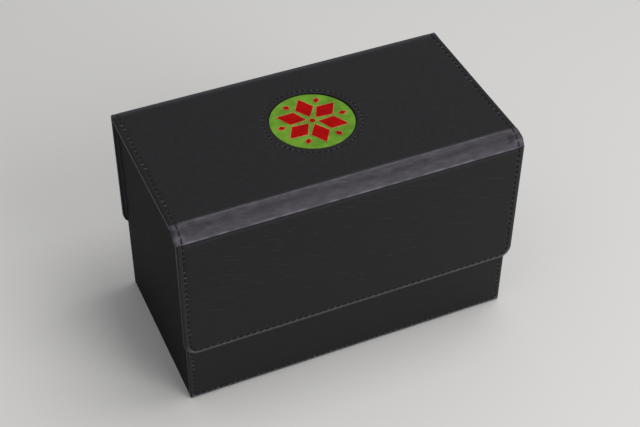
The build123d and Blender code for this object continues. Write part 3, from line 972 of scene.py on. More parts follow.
        # painted shade under the edge, less on the bottom's roll
        dark = self.edge_shade * dark[:, None] * (1 - 0.9 * lower * (share > 0)[:, None])
        return flat, high[:, None] + share[:, None] * swell[None], pattern, rim_wear_and_highlight, dark

    def grid(self) -> tuple[Array, Array]:
        """Points of the face row by row, and the numbers of those on its border, anticlockwise."""
        half = self.width / 2
        fine, margin = 0.42, 6
        spans = [(-half, 0), (margin - half, fine), (half - margin, self.step[0]), (half, fine)]
        across = stations(spans) / half
        top, low = self.rise, self.radius - self.rise
        turn = np.linspace(0, np.pi / 2, 14)[:-1] if self.radius else np.zeros(0)
        up = np.concatenate([low - self.radius * np.cos(turn), stations([(low, 0), (top, self.step[1])])])
        short = np.clip(low - up, 0.0, self.radius)
        reach = self.reach - self.radius + np.sqrt(self.radius**2 - short**2)
        rows, columns = len(up), len(across)
        heights = np.broadcast_to(up[:, None], (rows, columns))
        flat = np.stack([across[None, :] * reach[:, None], heights], -1)
        number = np.arange(rows * columns).reshape(rows, columns)
        loop = np.concatenate([number[0], number[1:, -1], number[-1, -2::-1], number[-2:0:-1, 0]])
        return flat, loop

    def shell(self) -> Shell:
        """The whole skin as one closed mesh."""
        face, loop = self.grid()
        rows, columns = face.shape[:2]
        flat = face.reshape(-1, 2)
        height, wear_and_highlight, painted_shade = self.relief(flat)
        ring_flat, ring_high, pattern, rim_wear_and_highlight, dark = self.rim(flat[loop], height[loop])
        count, rings, first = len(loop), len(ring_high), rows * columns
        centre = np.array([[0.0, 0.0]])
        points = np.concatenate([flat, ring_flat.reshape(-1, 2), centre])
        low = self.thickness - self.leather
        heights = np.concatenate([self.thickness + height, ring_high.ravel(), [low]])
        number = np.arange(count)
        after = (number + 1) % count
        join = np.stack([loop, first + number, first + after, loop[after]], -1)
        last = first + (rings - 1) * count
        fan = np.stack([last + number, np.full(count, len(points) - 1), last + after], -1)
        values = {
            "wear_and_highlight": np.concatenate([wear_and_highlight, rim_wear_and_highlight.ravel(), [0.0]]),
            "painted_shade": np.concatenate([painted_shade, dark.ravel(), [0.0]]),
        }
        faces = [grid_quads(rows, columns), join, grid_quads(rings, count, first, wrap=True)[:, ::-1], fan]
        uv = np.concatenate([flat, pattern.reshape(-1, 2), centre])
        return Shell(self.place.at(points, heights), faces, uv, values).outward()


@dataclass
class WindowSkin(Skin):
    """A skin with a round window: its grid runs from the window's rim out to the panel's border.

    Near the window the grid's rows are circles. Further out they turn into the panel's rectangle. A thin
    ledge at the foot of the window's rim closes the gap round the disc, painted dark as the shade in that
    gap.
    """

    window: float = 22.55
    window_y: float = 0.0
    circle: float = 28.5

    def border(self) -> Array:
        """Points round the drawn-in rectangle, anticlockwise, evenly spaced and one on each corner."""
        corners = np.array([(1, -1), (1, 1), (-1, 1), (-1, -1), (1, -1)]) * (self.reach, self.rise)
        parts = []
        for start, end in zip(corners, corners[1:]):
            count = math.ceil(np.hypot(*(end - start)) / 0.6)
            parts.append(np.linspace(start, end, count + 1)[:-1])
        return np.concatenate(parts)

    def shell(self) -> Shell:
        """The whole skin as one closed mesh, round like a ring: face, edge, inside, window."""
        border = self.border()
        centre = np.array([0.0, self.window_y])
        ray = (border - centre) / np.linalg.norm(border - centre, axis=1, keepdims=True)
        circles = stations([(self.window + 0.35, 0), (self.circle, 0.4)])
        shares = stations([(0.0, 0), (0.9, 0.03), (1.0, 0.0075)])[1:]
        bridge = centre + self.circle * ray
        rounds = centre + circles[:, None, None] * ray[None]
        spans = bridge[None] + shares[:, None, None] * (border - bridge)[None]
        face = np.concatenate([rounds, spans])
        count = len(border)
        height, wear_and_highlight, painted_shade = (value.reshape(-1, count) for value in self.relief(face.reshape(-1, 2)))
        ring_flat, ring_high, pattern, rim_wear_and_highlight, dark = self.rim(border, height[-1])
        low = self.thickness - self.leather
        # the ledge's rows, painted dark as the shade in the gap round the disc
        lip_out, lip_high, lip_dark = np.array(
            [
                (-0.65, low, 0.9),
                (-0.65, low + 0.05, 0.9),
                (0.0, low + 0.05, 0.9),
                (0.0, self.thickness - 0.32, 0.9),
                (0.06, self.thickness - 0.14, 0.4),
                (0.18, self.thickness - 0.03, 0.0),
            ]
        ).T
        lip = centre + (self.window + lip_out)[:, None, None] * ray
        lip_high, lip_dark = (np.repeat(value[:, None], count, axis=1) for value in (lip_high, lip_dark))
        points = np.concatenate([face, ring_flat, lip])
        heights = np.concatenate([self.thickness + height, ring_high, lip_high])
        values = {
            "wear_and_highlight": np.concatenate([wear_and_highlight, rim_wear_and_highlight, np.zeros_like(lip_dark)]).ravel(),
            "painted_shade": np.concatenate([painted_shade, dark, lip_dark]).ravel(),
        }
        uv = np.concatenate([face, pattern, lip]).reshape(-1, 2)
        quads = grid_quads(len(points), count, wrap=True, loop=True)
        return Shell(self.place.at(points.reshape(-1, 2), heights.ravel()), [quads], uv, values).outward()


# ---------------------------------------------------------------------------- folds
@dataclass
class Fold:
    """A strip of leatherette from the lid to a flap, laid along a curve in Y and Z.

    Both ends roll over like the skins' edges, and the seams of the sides cross it.
    """

    curve: Array
    half: float
    seam_x: float
    side: int  # -1 at the front, 1 at the back
    thickness: float
    roll: float
    rows: int
    # painted highlight along the bend
    bend_highlight: float = 0.12
    seed: int = SEED
    run: Array = field(init=False)

    def __post_init__(self) -> None:
        """Measure the way along the curve."""
        self.run = np.concatenate([[0.0], np.cumsum(np.hypot(*np.diff(self.curve, axis=0).T))])

    @property
    def length(self) -> float:
        """Length of the curve."""
        return float(self.run[-1])

    def spread(self, x: Array, share: Array) -> Array:
        """Where a point lies along X, once the strip's ends have their shape."""
        return x

    def sink(self, x: Array, share: Array) -> Array:
        """How far the strip lies below its curve: as deep as a circle's edge at both ends."""
        beyond = np.clip(np.abs(x) - (self.half - self.roll), 0.0, self.roll)
        return self.roll - np.sqrt(self.roll**2 - beyond**2)

    def marks(self, x: Array, share: Array) -> tuple[Array, Array]:
        """How much painted highlight and painted shade the strip has at its points, each from 0 to 1: a
        painted highlight along its bend.
        """
        return self.bend_highlight * bell(share - 0.4, 0.2), np.zeros_like(x)

    def at(self, flat: Array, height: Array) -> Array:
        """Points of the strip: along the curve, then out of it by the height, less its sink.

        Args:
            flat: where each point lies along X, and along the curve.
            height: how far each lies out of the strip.

        Returns:
            The points in space.
        """
        x, along = flat[..., 0], flat[..., 1]
        share = np.clip(along / self.length, 0, 1)
        y, z = (np.interp(along, self.run, axis) for axis in self.curve.T)
        slope = [np.interp(along, self.run, np.gradient(axis, self.run)) for axis in self.curve.T]
        out = self.side * np.stack([-slope[1], slope[0]], -1) / np.hypot(*slope)[..., None]
        lift = height - self.sink(x, share)
        return np.stack([self.spread(x, share), y + lift * out[..., 0], z + lift * out[..., 1]], -1)

    def seams(self) -> list[Seam]:
        """The two seams that cross it."""
        way = np.array([[self.seam_x, 0.0], [self.seam_x, self.length]])
        return [Seam(way * (side, 1)) for side in (-1, 1)]

    def shell(self) -> Shell:
        """The strip as one closed mesh: its outer face, its under face, and both ends closed."""
        edge, tip = self.half - 6.0, self.half - 1.5
        stops = [(-self.half, 0), (-tip, 0.2), (-edge, 0.42), (edge, 0.6), (tip, 0.42), (self.half, 0.2)]
        x = stations(stops)
        share = np.interp(np.linspace(0, 1, self.rows), [0, 0.2, 0.8, 1], [0, 0.14, 0.86, 1])
        across, down = np.meshgrid(x, share)
        flat = np.stack([across, down * self.length], -1)
        pressed = [seam.press(flat.reshape(-1, 2)) for seam in self.seams()]
        dent, hole, gleam = (sum(parts).reshape(across.shape) for parts in zip(*pressed))
        taper = 0.35 + 0.65 * np.sin(np.pi * np.clip(down, 0.02, 0.98)) ** 0.4
        outer = self.at(flat, dent)
        under = self.at(flat, dent - self.thickness * taper)
        points = np.concatenate([outer, under[::-1]])
        columns, count = len(x), len(share)
        ends = []
        for column in (0, columns - 1):
            line = np.arange(count) * columns + column
            back = (2 * count - 1 - np.arange(count)) * columns + column
            quad = np.stack([line[:-1], line[1:], back[1:], back[:-1]], -1)
            ends.append(quad if column == 0 else quad[:, ::-1])
        rubbed_and_highlight, dark = self.marks(across, down)
        inside = np.zeros_like(across)
        # painted highlights and stitch glints, and painted shade and stitch holes, for the leatherette's
        # colour
        values = {
            "wear_and_highlight": np.concatenate([np.maximum(rubbed_and_highlight, gleam), inside]).ravel(),
            "painted_shade": np.concatenate([np.maximum(hole, dark), inside]).ravel(),
        }
        uv = np.concatenate([flat, flat[::-1]]).reshape(-1, 2)
        quads = grid_quads(2 * count, columns, loop=True)
        return Shell(points.reshape(-1, 3), [quads] + ends, uv, values).outward()

    def lay(
        self,
        where: str,
        bodies: Sequence[str],
        bend: Sequence[tuple[float, float]],
        skin: Material,
        thread: Material,
    ) -> None:
        """Lay the strip and its threads in place of the frame's strips.

        Args:
            where: front or rear.
            bodies: the body at the start of the bend and the one at its end.
            bend: where the bend starts and ends, in Y and Z; not used.
            skin: the strip's finish.
            thread: the stitches' finish.
        """
        strip = self.shell().lay(f"{where}_fold", [skin])
        threads = joined([seam.threads(self, 0.0) for seam in self.seams()])
        stitches = threads.lay(f"{where}_fold_stitches", [thread])
        for piece in (strip, stitches):
            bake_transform(piece)
            log.info("%s bends between %s and %s", piece.name, *bodies)
        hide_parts(f"{where}_fold_lid", f"{where}_fold_{'flap' if self.side < 0 else 'casing'}")


@dataclass
class Valley(Fold):
    """The wide front fold: a shallow valley with a wavering crease, whose ends round over in two lobes."""

    dip: float = 0.55
    crease: float = 0.16
    arch: float = 1.5  # how far its ends stand up
    notch: float = 0.15  # the dip across each arch
    lobe: float = 0.4  # how far its ends stand out sideways

    def __post_init__(self) -> None:
        """Scatter its creases and the phases of its waves."""
        super().__post_init__()
        reach = self.half - 4.0
        self.creases = Creases(
            count=170,
            low=(-reach, 0.8),
            high=(reach, self.length - 0.8),
            slope=0.26,
            crowd=1.0,
            height=0.1,
            width=0.36,
            seed=self.seed + 2,
        )
        self.phase = np.random.default_rng(self.seed).uniform(0, 2 * np.pi, 8)

    def wave(self, x: Array, *lengths: float) -> Array:
        """A slow wave along the fold, from -1 to 1: the mean of several sines.

        Args:
            x: where along the fold.
            *lengths: each sine's length over 2 pi.

        Returns:
            The wave at each place.
        """
        return sum(np.sin(x / length + phase) for length, phase in zip(lengths, self.phase)) / len(lengths)

    def waves(self, x: Array) -> tuple[Array, Array]:
        """How the valley's depth wavers along the fold, and where its crease lies, as a share across it."""
        return self.wave(x, 9.0, 17.0, 4.1), 0.42 + 0.08 * self.wave(x, 13.0, 5.3, 31.0)

    def at_end(self, x: Array) -> Array:
        """0 along the fold, and 1 at both ends, where the seams hold it."""
        return ramp(np.abs(x), self.half - 8.0, self.half - 3.2)

    def spread(self, x: Array, share: Array) -> Array:
        """Beyond the seams the ends stand out sideways, most in their lower half."""
        lobe = self.lobe * bell(share - 0.65, 0.28)
        return x + np.sign(x) * ramp(np.abs(x), self.half - 3.0, self.half) * lobe

    def sink(self, x: Array, share: Array) -> Array:
        """A valley, its crease and fine wrinkles, which turn into a round arch with a dip at the ends.

        Args:
            x: where each point lies along the fold.
            share: where it lies across the fold, from 0 at the lid to 1 at the flap.

        Returns:
            How far it lies below the curve.
        """
        depth, middle = self.waves(x)
        at_end = self.at_end(x)
        valley = (self.dip + 0.1 * depth) * np.sin(np.pi * share) ** 0.8
        fold = self.crease * (0.7 + 0.5 * depth) * bell(share - middle, 0.09)
        arch = self.arch * np.sin(np.pi * share) ** 1.3 - self.notch * bell(share - 0.4, 0.1)
        ridge, _ = self.creases.relief(np.stack([x, share * self.length], -1).reshape(-1, 2))
        shape = (1 - at_end) * (valley + fold) - at_end * arch - ridge.reshape(x.shape)
        return shape + super().sink(x, share)

    def marks(self, x: Array, share: Array) -> tuple[Array, Array]:
        """Painted highlights in patches along the flap's edge, along the lid's edge, on the lobes and on the
        creases, and a painted shade along the middle that wavers.

        Args:
            x: where each point lies along the fold.
            share: where it lies across the fold, from 0 at the lid to 1 at the flap.

        Returns:
            How much painted highlight and painted shade it has, each from 0 to 1.
        """
        depth, middle = self.waves(x)
        at_end = self.at_end(x)
        outside = ramp(np.abs(x), self.seam_x - 0.6, self.seam_x + 0.3)
        patch = np.clip(0.45 + 1.1 * self.wave(x, 2.9, 1.3, 7.1), 0, 1)
        # painted highlights along the flap's edge, the lid's edge and on the lobes
        low = bell(1 - share, 0.07) * (0.1 + 0.4 * patch) * (1 - outside)
        top = (0.06 + 0.12 * self.wave(x, 1.7, 3.1) ** 2) * bell(share - 0.05, 0.06) * (1 - outside)
        lobes = 0.08 * bell(share - 0.17, 0.1) + 0.2 * bell(share - 0.72, 0.14)
        _, crease_highlight = self.creases.relief(np.stack([x, share * self.length], -1).reshape(-1, 2))
        rubbed_and_highlight = np.maximum(np.maximum(low, top), lobes * at_end) + 0.09 * crease_highlight.reshape(x.shape)
        # painted shade along the wavering crease and across each end's arch
        band = (0.36 + 0.16 * depth) * bell(share - middle, 0.15)
        dip = 0.45 * bell(share - 0.42, 0.11) + 0.1 * outside * (1 - bell(share - 0.74, 0.2))
        return rubbed_and_highlight, (1 - at_end) * band + at_end * dip


# ---------------------------------------------------------------------------- emblem
@dataclass
class Emblem:
    """A green disc in the lid's window, with a rosette of red petals and diamonds that have gilt edges."""

    centre: tuple[float, float]
    bottom: float
    thickness: float
    radius: float
    crown: float
    petals: int = 6
    petal: tuple[float, float, float, float] = (2.6, 10.4, 19.0, 5.4)
    diamond: tuple[float, float, float, float] = (13.9, 16.7, 19.5, 2.0)
    dot: float = 1.8
    gilt: float = 0.17

    def disc(self) -> Shell:
        """The disc: a very low dome with a rounded edge, revolved about its centre."""
        radii = stations([(0.0, 0), (self.radius - 0.6, 0.7), (self.radius, 0.1)])[1:]
        edge = np.clip(radii - (self.radius - 0.3), 0, 0.3)
        heights = self.thickness - 0.06 * (radii / self.radius) ** 2 - (0.3 - np.sqrt(0.09 - edge**2)) * 0.7
        radii, heights = np.append(radii, self.radius), np.append(heights, 0.0)
        angle = np.linspace(0, 2 * np.pi, 144, endpoint=False)
        x = self.centre[0] + radii[:, None] * np.cos(angle)
        y = self.centre[1] + radii[:, None] * np.sin(angle)
        z = np.broadcast_to(self.bottom + heights[:, None], x.shape)
        points = np.stack([x, y, z], -1).reshape(-1, 3)
        hubs = np.array([[*self.centre, self.bottom + self.thickness], [*self.centre, self.bottom]])
        number = np.arange(len(angle))
        after = (number + 1) % len(angle)
        last = (len(radii) - 1) * len(angle)
        top = np.stack([np.full(len(angle), len(points)), after, number], -1)
        base = np.stack([np.full(len(angle), len(points) + 1), last + number, last + after], -1)
        quads = grid_quads(len(radii), len(angle), wrap=True)
        return Shell(np.concatenate([points, hubs]), [quads, top, base]).outward()

    def kite(
        self, angle: float, root: float, waist: float, tip: float, half: float
    ) -> tuple[Array, Array, float]:
        """A kite that points outwards, with the circle inside it.

        Args:
            angle: where it points, in radians.
            root: distance of its inner corner from the disc's centre.
            waist: distance of its widest place.
            tip: distance of its outer corner.
            half: half of its width.

        Returns:
            Its outline, the centre of the circle that touches its four sides, and that circle's radius.
        """
        first, second = math.hypot(waist - root, half), math.hypot(tip - waist, half)
        middle = (root * second + tip * first) / (first + second)
        corners = np.array([(root, 0), (waist, -half), (tip, 0), (waist, half), (root, 0)], dtype=float)
        share = np.linspace(0, 1, 9)[:-1, None]
        outline = np.concatenate([a + (b - a) * share for a, b in zip(corners, corners[1:])])
        turn = np.array([[math.cos(angle), math.sin(angle)], [-math.sin(angle), math.cos(angle)]])
        centre = np.array(self.centre)
        inside = (middle - root) * half / first
        return outline @ turn + centre, np.array([middle, 0.0]) @ turn + centre, inside

    def pad(self, outline: Array, centre: Array, inside: float) -> Shell:
        """A raised pad: walls, a gilt edge and a red face that dips and swells, ring inside ring.

        Args:
            outline: its outline.
            centre: centre of the circle inside it, towards which each ring is drawn in.
            inside: that circle's radius.

        Returns:
            The pad, its gilt faces before its red ones.
        """
        rise, gilt = self.crown, self.gilt
        insets = np.array([0.0, 0.0, 0.1, gilt, gilt + 0.1, gilt + 0.3, 0.75 * inside])
        heights = np.array([-0.05, 0.75 * rise, rise, rise, 0.72 * rise, 0.8 * rise, 0.95 * rise])
        share = 1 - np.minimum(insets, 0.85 * inside) / inside
        rings = centre + (outline - centre)[None] * share[:, None, None]
        base = self.bottom + self.thickness
        high = np.broadcast_to(base + heights[:, None], rings.shape[:2])
        points = np.concatenate([rings, high[..., None]], -1).reshape(-1, 3)
        count = len(outline)
        quads = grid_quads(len(insets), count, wrap=True)
        number = np.arange(count)
        last = (len(insets) - 1) * count
        fan = np.stack([last + number, last + (number + 1) % count, np.full(count, len(points))], -1)
        points = np.concatenate([points, [[*centre, base + rise]]])
        return Shell(points, [quads[: 4 * count], quads[4 * count :], fan])

    def motif(self) -> Shell:
        """The rosette: petals, a diamond between each two, and a dot in the middle."""
        turn = 2 * math.pi / self.petals
        outlines = []
        for index in range(self.petals):
            outlines.append(self.kite(math.pi / 2 + turn * index, *self.petal))
            outlines.append(self.kite(math.pi / 2 + turn * (index + 0.5), *self.diamond))
        angle = np.linspace(0, 2 * np.pi, 32, endpoint=False)
        ring = np.array(self.centre) + self.dot * np.stack([np.cos(angle), np.sin(angle)], -1)
        outlines.append((ring, np.array(self.centre), self.dot))
        whole = joined([self.pad(*outline) for outline in outlines])
        whole.tints = [1, 0, 0] * len(outlines)
        return whole


# ---------------------------------------------------------------------------- the chest
def dress(piece: bpy.types.Object, body: str, nodes: Sequence[str] = ()) -> None:
    """Hang a piece on its body and what it stands for, and report it.

    Args:
        piece: the finished piece.
        body: the body that it moves with.
        nodes: frame nodes that it stands for.
    """
    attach(piece, body)
    if nodes:
        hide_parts(*nodes)
    log.info("%s on %s: %d faces", piece.name, body, len(piece.data.polygons))


@dataclass
class Wrap:
    """The wrap cover: lid, flaps, folds, seams and emblem."""

    finishes: Finishes
    width: float = 185.0
    thickness: float = 2.8
    leather: float = 0.6
    roll: float = 0.9
    top: float = 118.0
    lid_span: tuple[float, float] = (-41.3, 46.9)
    outer: float = 50.0
    flap_span: tuple[float, float] = (36.4, 112.6)
    back_span: tuple[float, float] = (43.8, 115.1)
    corner: float = 7.0
    seam_inset: float = 3.0
    low_inset: float = 2.4
    window: float = 22.55
    window_y: float = 5.3
    ring: float = 25.2
    under_thread: float = -0.08  # height of the inner face's threads above it

    def panel(self, span: tuple[float, float]) -> tuple[float, float, float, float, float]:
        """Width, height, thickness, leather and roll of a panel."""
        return self.width, span[1] - span[0], self.thickness, self.leather, self.roll

    def edge_seam(self, span: tuple[float, float]) -> Seam:
        """A flap's seam, down one side, along the bottom and up the other.

        Args:
            span: heights of the flap's bottom and top.

        Returns:
            The seam, round the flap's middle.
        """
        half = (span[1] - span[0]) / 2
        radius = self.corner - self.low_inset
        return Seam(edge_path(self.width / 2 - self.seam_inset, half, self.low_inset - half, radius))

    def sew(self, name: str, body: str, rows: Sequence[tuple[Seam, Surface, float]]) -> None:
        """Lay the threads of seams, each on its surface at its height, as one piece."""
        threads = joined([seam.threads(surface, height) for seam, surface, height in rows])
        dress(threads.lay(name, [self.finishes.thread]), body)

    def lid(self) -> None:
        """Lid skin with the emblem's window, and its seams on both faces."""
        middle = sum(self.lid_span) / 2
        bottom = self.top - self.thickness
        outside = Place((0, middle, bottom), (1, 0, 0), (0, 1, 0), (0, 0, 1))
        inside = Place((0, middle, bottom), (-1, 0, 0), (0, 1, 0), (0, 0, -1))
        x = self.width / 2 - self.seam_inset
        reach = (self.lid_span[1] - self.lid_span[0]) / 2 - 0.3
        sides = [Seam(np.array([[side * x, -reach], [side * x, reach]])) for side in (-1, 1)]
        window_y = self.window_y - middle
        angle = np.linspace(0, 2 * np.pi, 181)
        circle = np.stack([self.ring * np.cos(angle), window_y + self.ring * np.sin(angle)], -1)
        ring = Seam(circle, pitch=3.0, cover=0.55, slant=9.0, thread=0.19, dent=0.24, gleam=0.4)
        seams = [*sides, ring]
        size = self.panel(self.lid_span)
        skin = WindowSkin(outside, *size, seams=seams, window=self.window, window_y=window_y)
        dress(skin.shell().lay("lid_skin", [self.finishes.skin]), "lid", ["lid_cover"])
        rows = [(seam, outside, self.thickness) for seam in seams]
        rows += [(seam, inside, self.under_thread) for seam in sides]
        self.sew("lid_stitches", "lid", rows)

    def flap(self) -> None:
        """Front flap's skin, creased where it is flexed, and its seam on both faces."""
        low, high = self.flap_span
        origin = (0, self.thickness - self.outer, (low + high) / 2)
        outside = Place(origin, (1, 0, 0), (0, 0, 1), (0, -1, 0))
        inside = Place(origin, (-1, 0, 0), (0, 0, 1), (0, 1, 0))
        half = (high - low) / 2
        seam = self.edge_seam(self.flap_span)
        creases = Creases(150, (-84.0, 8 - half), (84.0, half - 2))
        skin = Skin(
            outside,
            *self.panel(self.flap_span),
            corner=self.corner,
            seams=[seam],
            creases=creases,
            hem=self.low_inset - self.roll,
        )
        piece = skin.shell().lay("flap_skin", [self.finishes.skin])
        dress(piece, "front_flap", ["flap_cover"])
        rows = [(seam, outside, self.thickness), (seam, inside, self.under_thread)]
        self.sew("flap_stitches", "front_flap", rows)

    def back(self) -> None:
        """Back flap's skin, turned in well beyond the body's sides, and its seam."""
        low, high = self.back_span
        place = Place((0, self.outer - self.thickness, (low + high) / 2), (-1, 0, 0), (0, 0, 1), (0, 1, 0))
        half = (high - low) / 2
        seam = self.edge_seam(self.back_span)
        creases = Creases(30, (-84.0, 8 - half), (84.0, half - 2), seed=SEED + 5)
        skin = Skin(
            place,
            *self.panel(self.back_span),
            corner=self.corner,
            seams=[seam],
            creases=creases,
            turn_in=3.5,
            # painted light on the turned-in strip, which lies in shade beyond the sides, and little painted
            # shade under its edge
            tucked_painted_light=0.5,
            edge_shade=0.2,
            hem=self.low_inset - self.roll,
        )
        piece = skin.shell().lay("back_flap_skin", [self.finishes.skin])
        dress(piece, "casing", ["back_flap_cover"])
        self.sew("back_flap_stitches", "casing", [(seam, place, self.thickness)])

    def folds(self) -> None:
        """The wide front fold from edge to edge, and the tight one round the top rear edge."""
        finishes = self.finishes
        half, seam_x = self.width / 2, self.width / 2 - self.seam_inset
        skim = 0.03
        front_edge, flap_top = self.lid_span[0], self.flap_span[1]
        knee = [
            (front_edge + 1.1, self.top - 0.1),
            (front_edge + 0.8, self.top + skim),
            (front_edge, self.top - 0.16),
        ]
        slope = np.linspace(knee[-1], (0.3 - self.outer, flap_top - 0.05), 12)
        front = Valley(np.concatenate([knee[:-1], slope]), half, seam_x, -1, 0.8, self.roll, 40)
        # the bend starts far enough forward to clear the front wall as the flap goes over
        bend = ((front_edge - 4.55, self.top - 2.3), (1.2 - self.outer, flap_top + 0.9))
        front.lay("front", ("lid", "front_flap"), bend, finishes.fold, finishes.thread)

        radius = 1.0
        angle = np.linspace(0, np.pi / 2, 15)
        y, z = self.outer - radius, self.top - radius
        arc = np.stack([y + (radius + skim) * np.sin(angle), z + (radius + skim) * np.cos(angle)], -1)
        over = [(self.lid_span[1] - 1.5, self.top - 0.05), (self.lid_span[1] - 1.2, self.top + skim)]
        down = [(self.outer + skim, self.back_span[1] - 0.9), (self.outer - 0.05, self.back_span[1] - 1.2)]
        rear = Fold(np.concatenate([over, arc, down]), half, seam_x, 1, 0.5, self.roll, 30)
        bend = ((self.outer, self.back_span[1] + 0.4), (self.lid_span[1] + 0.6, self.top))
        rear.lay("rear", ("casing", "lid"), bend, finishes.skin, finishes.thread)

    def emblem(self) -> None:
        """The disc and its rosette in the lid's window."""
        emblem = Emblem((0.0, self.window_y), self.top - self.leather, 0.3, self.window - 0.6, 0.3)
        disc = emblem.disc().lay("emblem_face", [self.finishes.green])
        dress(disc, "lid", ["emblem_disc"])
        motif = emblem.motif().lay("emblem_rosette", [self.finishes.red, self.finishes.gilt])
        dress(motif, "lid", ["emblem_motif"])

    def build(self) -> None:
        """Make every piece of the wrap cover."""
        self.lid()
        self.flap()
        self.back()
        self.folds()
        self.emblem()


@dataclass
class Fronts:
    """The two drawer fronts: stitched band below the flap, and the plain front behind it."""

    finishes: Finishes
    lower_width: float = 181.2
    lower_span: tuple[float, float] = (0.6, 35.8)
    lower_back: float = -43.5
    middle_width: float = 173.6
    middle_span: tuple[float, float] = (47.1, 75.7)
    middle_back: float = -40.5
    thickness: float = 3.4
    leather: float = 0.8
    roll: float = 0.7
    seam_inset: float = 2.3
    low_inset: float = 1.9

    def place(self, span: tuple[float, float], back: float) -> Place:
        """A front's inner face, looking to the front."""
        return Place((0, back, sum(span) / 2), (1, 0, 0), (0, 0, 1), (0, -1, 0))

    def lower(self) -> None:
        """The stitched band of the lower drawer."""
        place = self.place(self.lower_span, self.lower_back)
        height = self.lower_span[1] - self.lower_span[0]
        half = height / 2
        path = edge_path(self.lower_width / 2 - self.seam_inset, half - 0.8, self.low_inset - half, 0.6)
        seam = Seam(path, pitch=3.2)
        creases = Creases(16, (-82.0, 6 - half), (82.0, half - 2), height=0.09, seed=SEED + 9)
        size = (self.lower_width, height, self.thickness, self.leather, self.roll)
        skin = Skin(place, *size, seams=[seam], creases=creases, hem=self.low_inset - self.roll)
        piece = skin.shell().lay("lower_front_skin", [self.finishes.skin])
        dress(piece, "lower_drawer", ["lower_front_cover"])
        threads = seam.threads(place, self.thickness).lay("lower_front_stitches", [self.finishes.thread])
        dress(threads, "lower_drawer")

    def middle(self) -> None:
        """The plain front of the middle drawer."""
        height = self.middle_span[1] - self.middle_span[0]
        size = (self.middle_width, height, self.thickness, self.leather, self.roll)
        skin = Skin(self.place(self.middle_span, self.middle_back), *size, step=(1.6, 0.9))
        piece = skin.shell().lay("middle_front_skin", [self.finishes.skin])
        dress(piece, "middle_drawer", ["middle_front_cover"])

    def build(self) -> None:
        """Make both fronts."""
        self.lower()
        self.middle()


@dataclass
class Pull:
    """The middle drawer's leather tab: flat under its stud, its lower half standing off for the fingers."""

    finishes: Finishes
    face: float = -43.9
    top: float = 71.2
    length: float = 19.0
    width: float = 16.0
    thickness: float = 1.2
    lift: float = 1.3
    corner: float = 4.0

    def shell(self) -> Shell:
        """The tab as one closed mesh.

        Its back follows a smooth step from the drawer's face out to the lift, halfway down. Its outline
        is a rectangle whose lower corners are quarter circles, and its edges are rounded over.
        """
        straight = self.length - self.corner
        arc = straight + self.corner * np.sin(np.linspace(0, np.pi / 2, 12))
        down = np.concatenate([np.linspace(0, straight, 26)[:-1], arc])
        short = np.clip(down - straight, 0, self.corner)
        half = self.width / 2 - (self.corner - np.sqrt(self.corner**2 - short**2))
        ring = np.linspace(0, 2 * np.pi, 28, endpoint=False)
        across = np.sign(np.cos(ring)) * np.abs(np.cos(ring)) ** 0.22
        above = np.sign(np.sin(ring)) * np.abs(np.sin(ring)) ** 0.6
        x = half[:, None] * across[None]
        stand = self.lift * ramp(down, self.length * 0.46, self.length * 0.68)
        thin = self.thickness / 2 * np.minimum(1.0, np.sqrt(np.clip((self.length + 0.2 - down) / 0.8, 0, 1)))
        y = self.face - stand[:, None] - self.thickness / 2 - above[None] * thin[:, None]
        points = np.stack([x, y, np.broadcast_to((self.top - down)[:, None], x.shape)], -1).reshape(-1, 3)
        count, rows = len(ring), len(down)
        start = np.arange(count)[None, ::-1]
        end = ((rows - 1) * count + np.arange(count))[None]
        return Shell(points, [grid_quads(rows, count, wrap=True), start, end], points[:, ::2]).outward()

    def build(self) -> None:
        """Make the tab."""
        piece = self.shell().lay("pull_tab", [self.finishes.skin])
        dress(piece, "middle_drawer", ["middle_pull_tab"])


@dataclass
class Boards:
    """Pieces whose shape is the frame's own: some get rounded edges, all get their finish."""

    finishes: Finishes
    frame: dict[str, Any]

    def rounded(self, node: str, radius: float) -> bpy.types.Object:
        """A copy of a node with rounded edges.

        Args:
            node: the node's name.
            radius: radius of its edges in millimetres.

        Returns:
            The copy, with a bevel.
        """
        mesh = self.frame["nodes"][node].data.copy()
        shape = bmesh.new()
        shape.from_mesh(mesh)
        bmesh.ops.remove_doubles(shape, verts=shape.verts, dist=0.001 * MM)
        bmesh.ops.dissolve_limit(shape, angle_limit=math.radians(0.5), verts=shape.verts, edges=shape.edges)
        shape.to_mesh(mesh)
        shape.free()
        mesh.polygons.foreach_set("use_smooth", np.ones(len(mesh.polygons), dtype=bool))
        mesh.set_sharp_from_angle(angle=math.radians(30))
        piece = bpy.data.objects.new(f"{node}_finish", mesh)
        bpy.context.scene.collection.objects.link(piece)
        bevel = piece.modifiers.new("rounded edges", "BEVEL")
        bevel.width = radius * MM
        bevel.segments = 3
        bevel.limit_method = "ANGLE"
        bevel.angle_limit = math.radians(35)
        bevel.harden_normals = True
        return piece

    def build(self) -> None:
        """Finish every piece that the other classes left to the frame."""
        finishes = self.finishes
        by_slot = {
            "leatherette": (finishes.casing, 0.35),
            "board": (finishes.board, 0.0),
            "drawer_board": (finishes.black_board, 0.35),
            "velvet": (finishes.velvet, 0.5),
            "suede_paper": (finishes.suede, 0.2),
            "base_felt": (finishes.felt, 0.25),
            "nylon": (finishes.nylon, 0.2),
            "steel": (finishes.nickel, 0.25),
            "stud_metal": (finishes.stud, 0.0),
        }
        slots = {part["node"]: part["material_slot"] for part in self.frame["record"]["subparts"]}
        for body, nodes in self.frame["record"]["behaviour"]["bodies"].items():
            for node in nodes:
                if self.frame["nodes"][node].hide_render:
                    continue
                material, radius = by_slot[slots[node]]
                piece = self.rounded(node, radius) if radius else self.frame["nodes"][node]
                piece.data.materials.clear()
                piece.data.materials.append(material)
                if radius:
                    dress(piece, body, [node])
                else:
                    log.info("%s keeps the frame's shape", node)


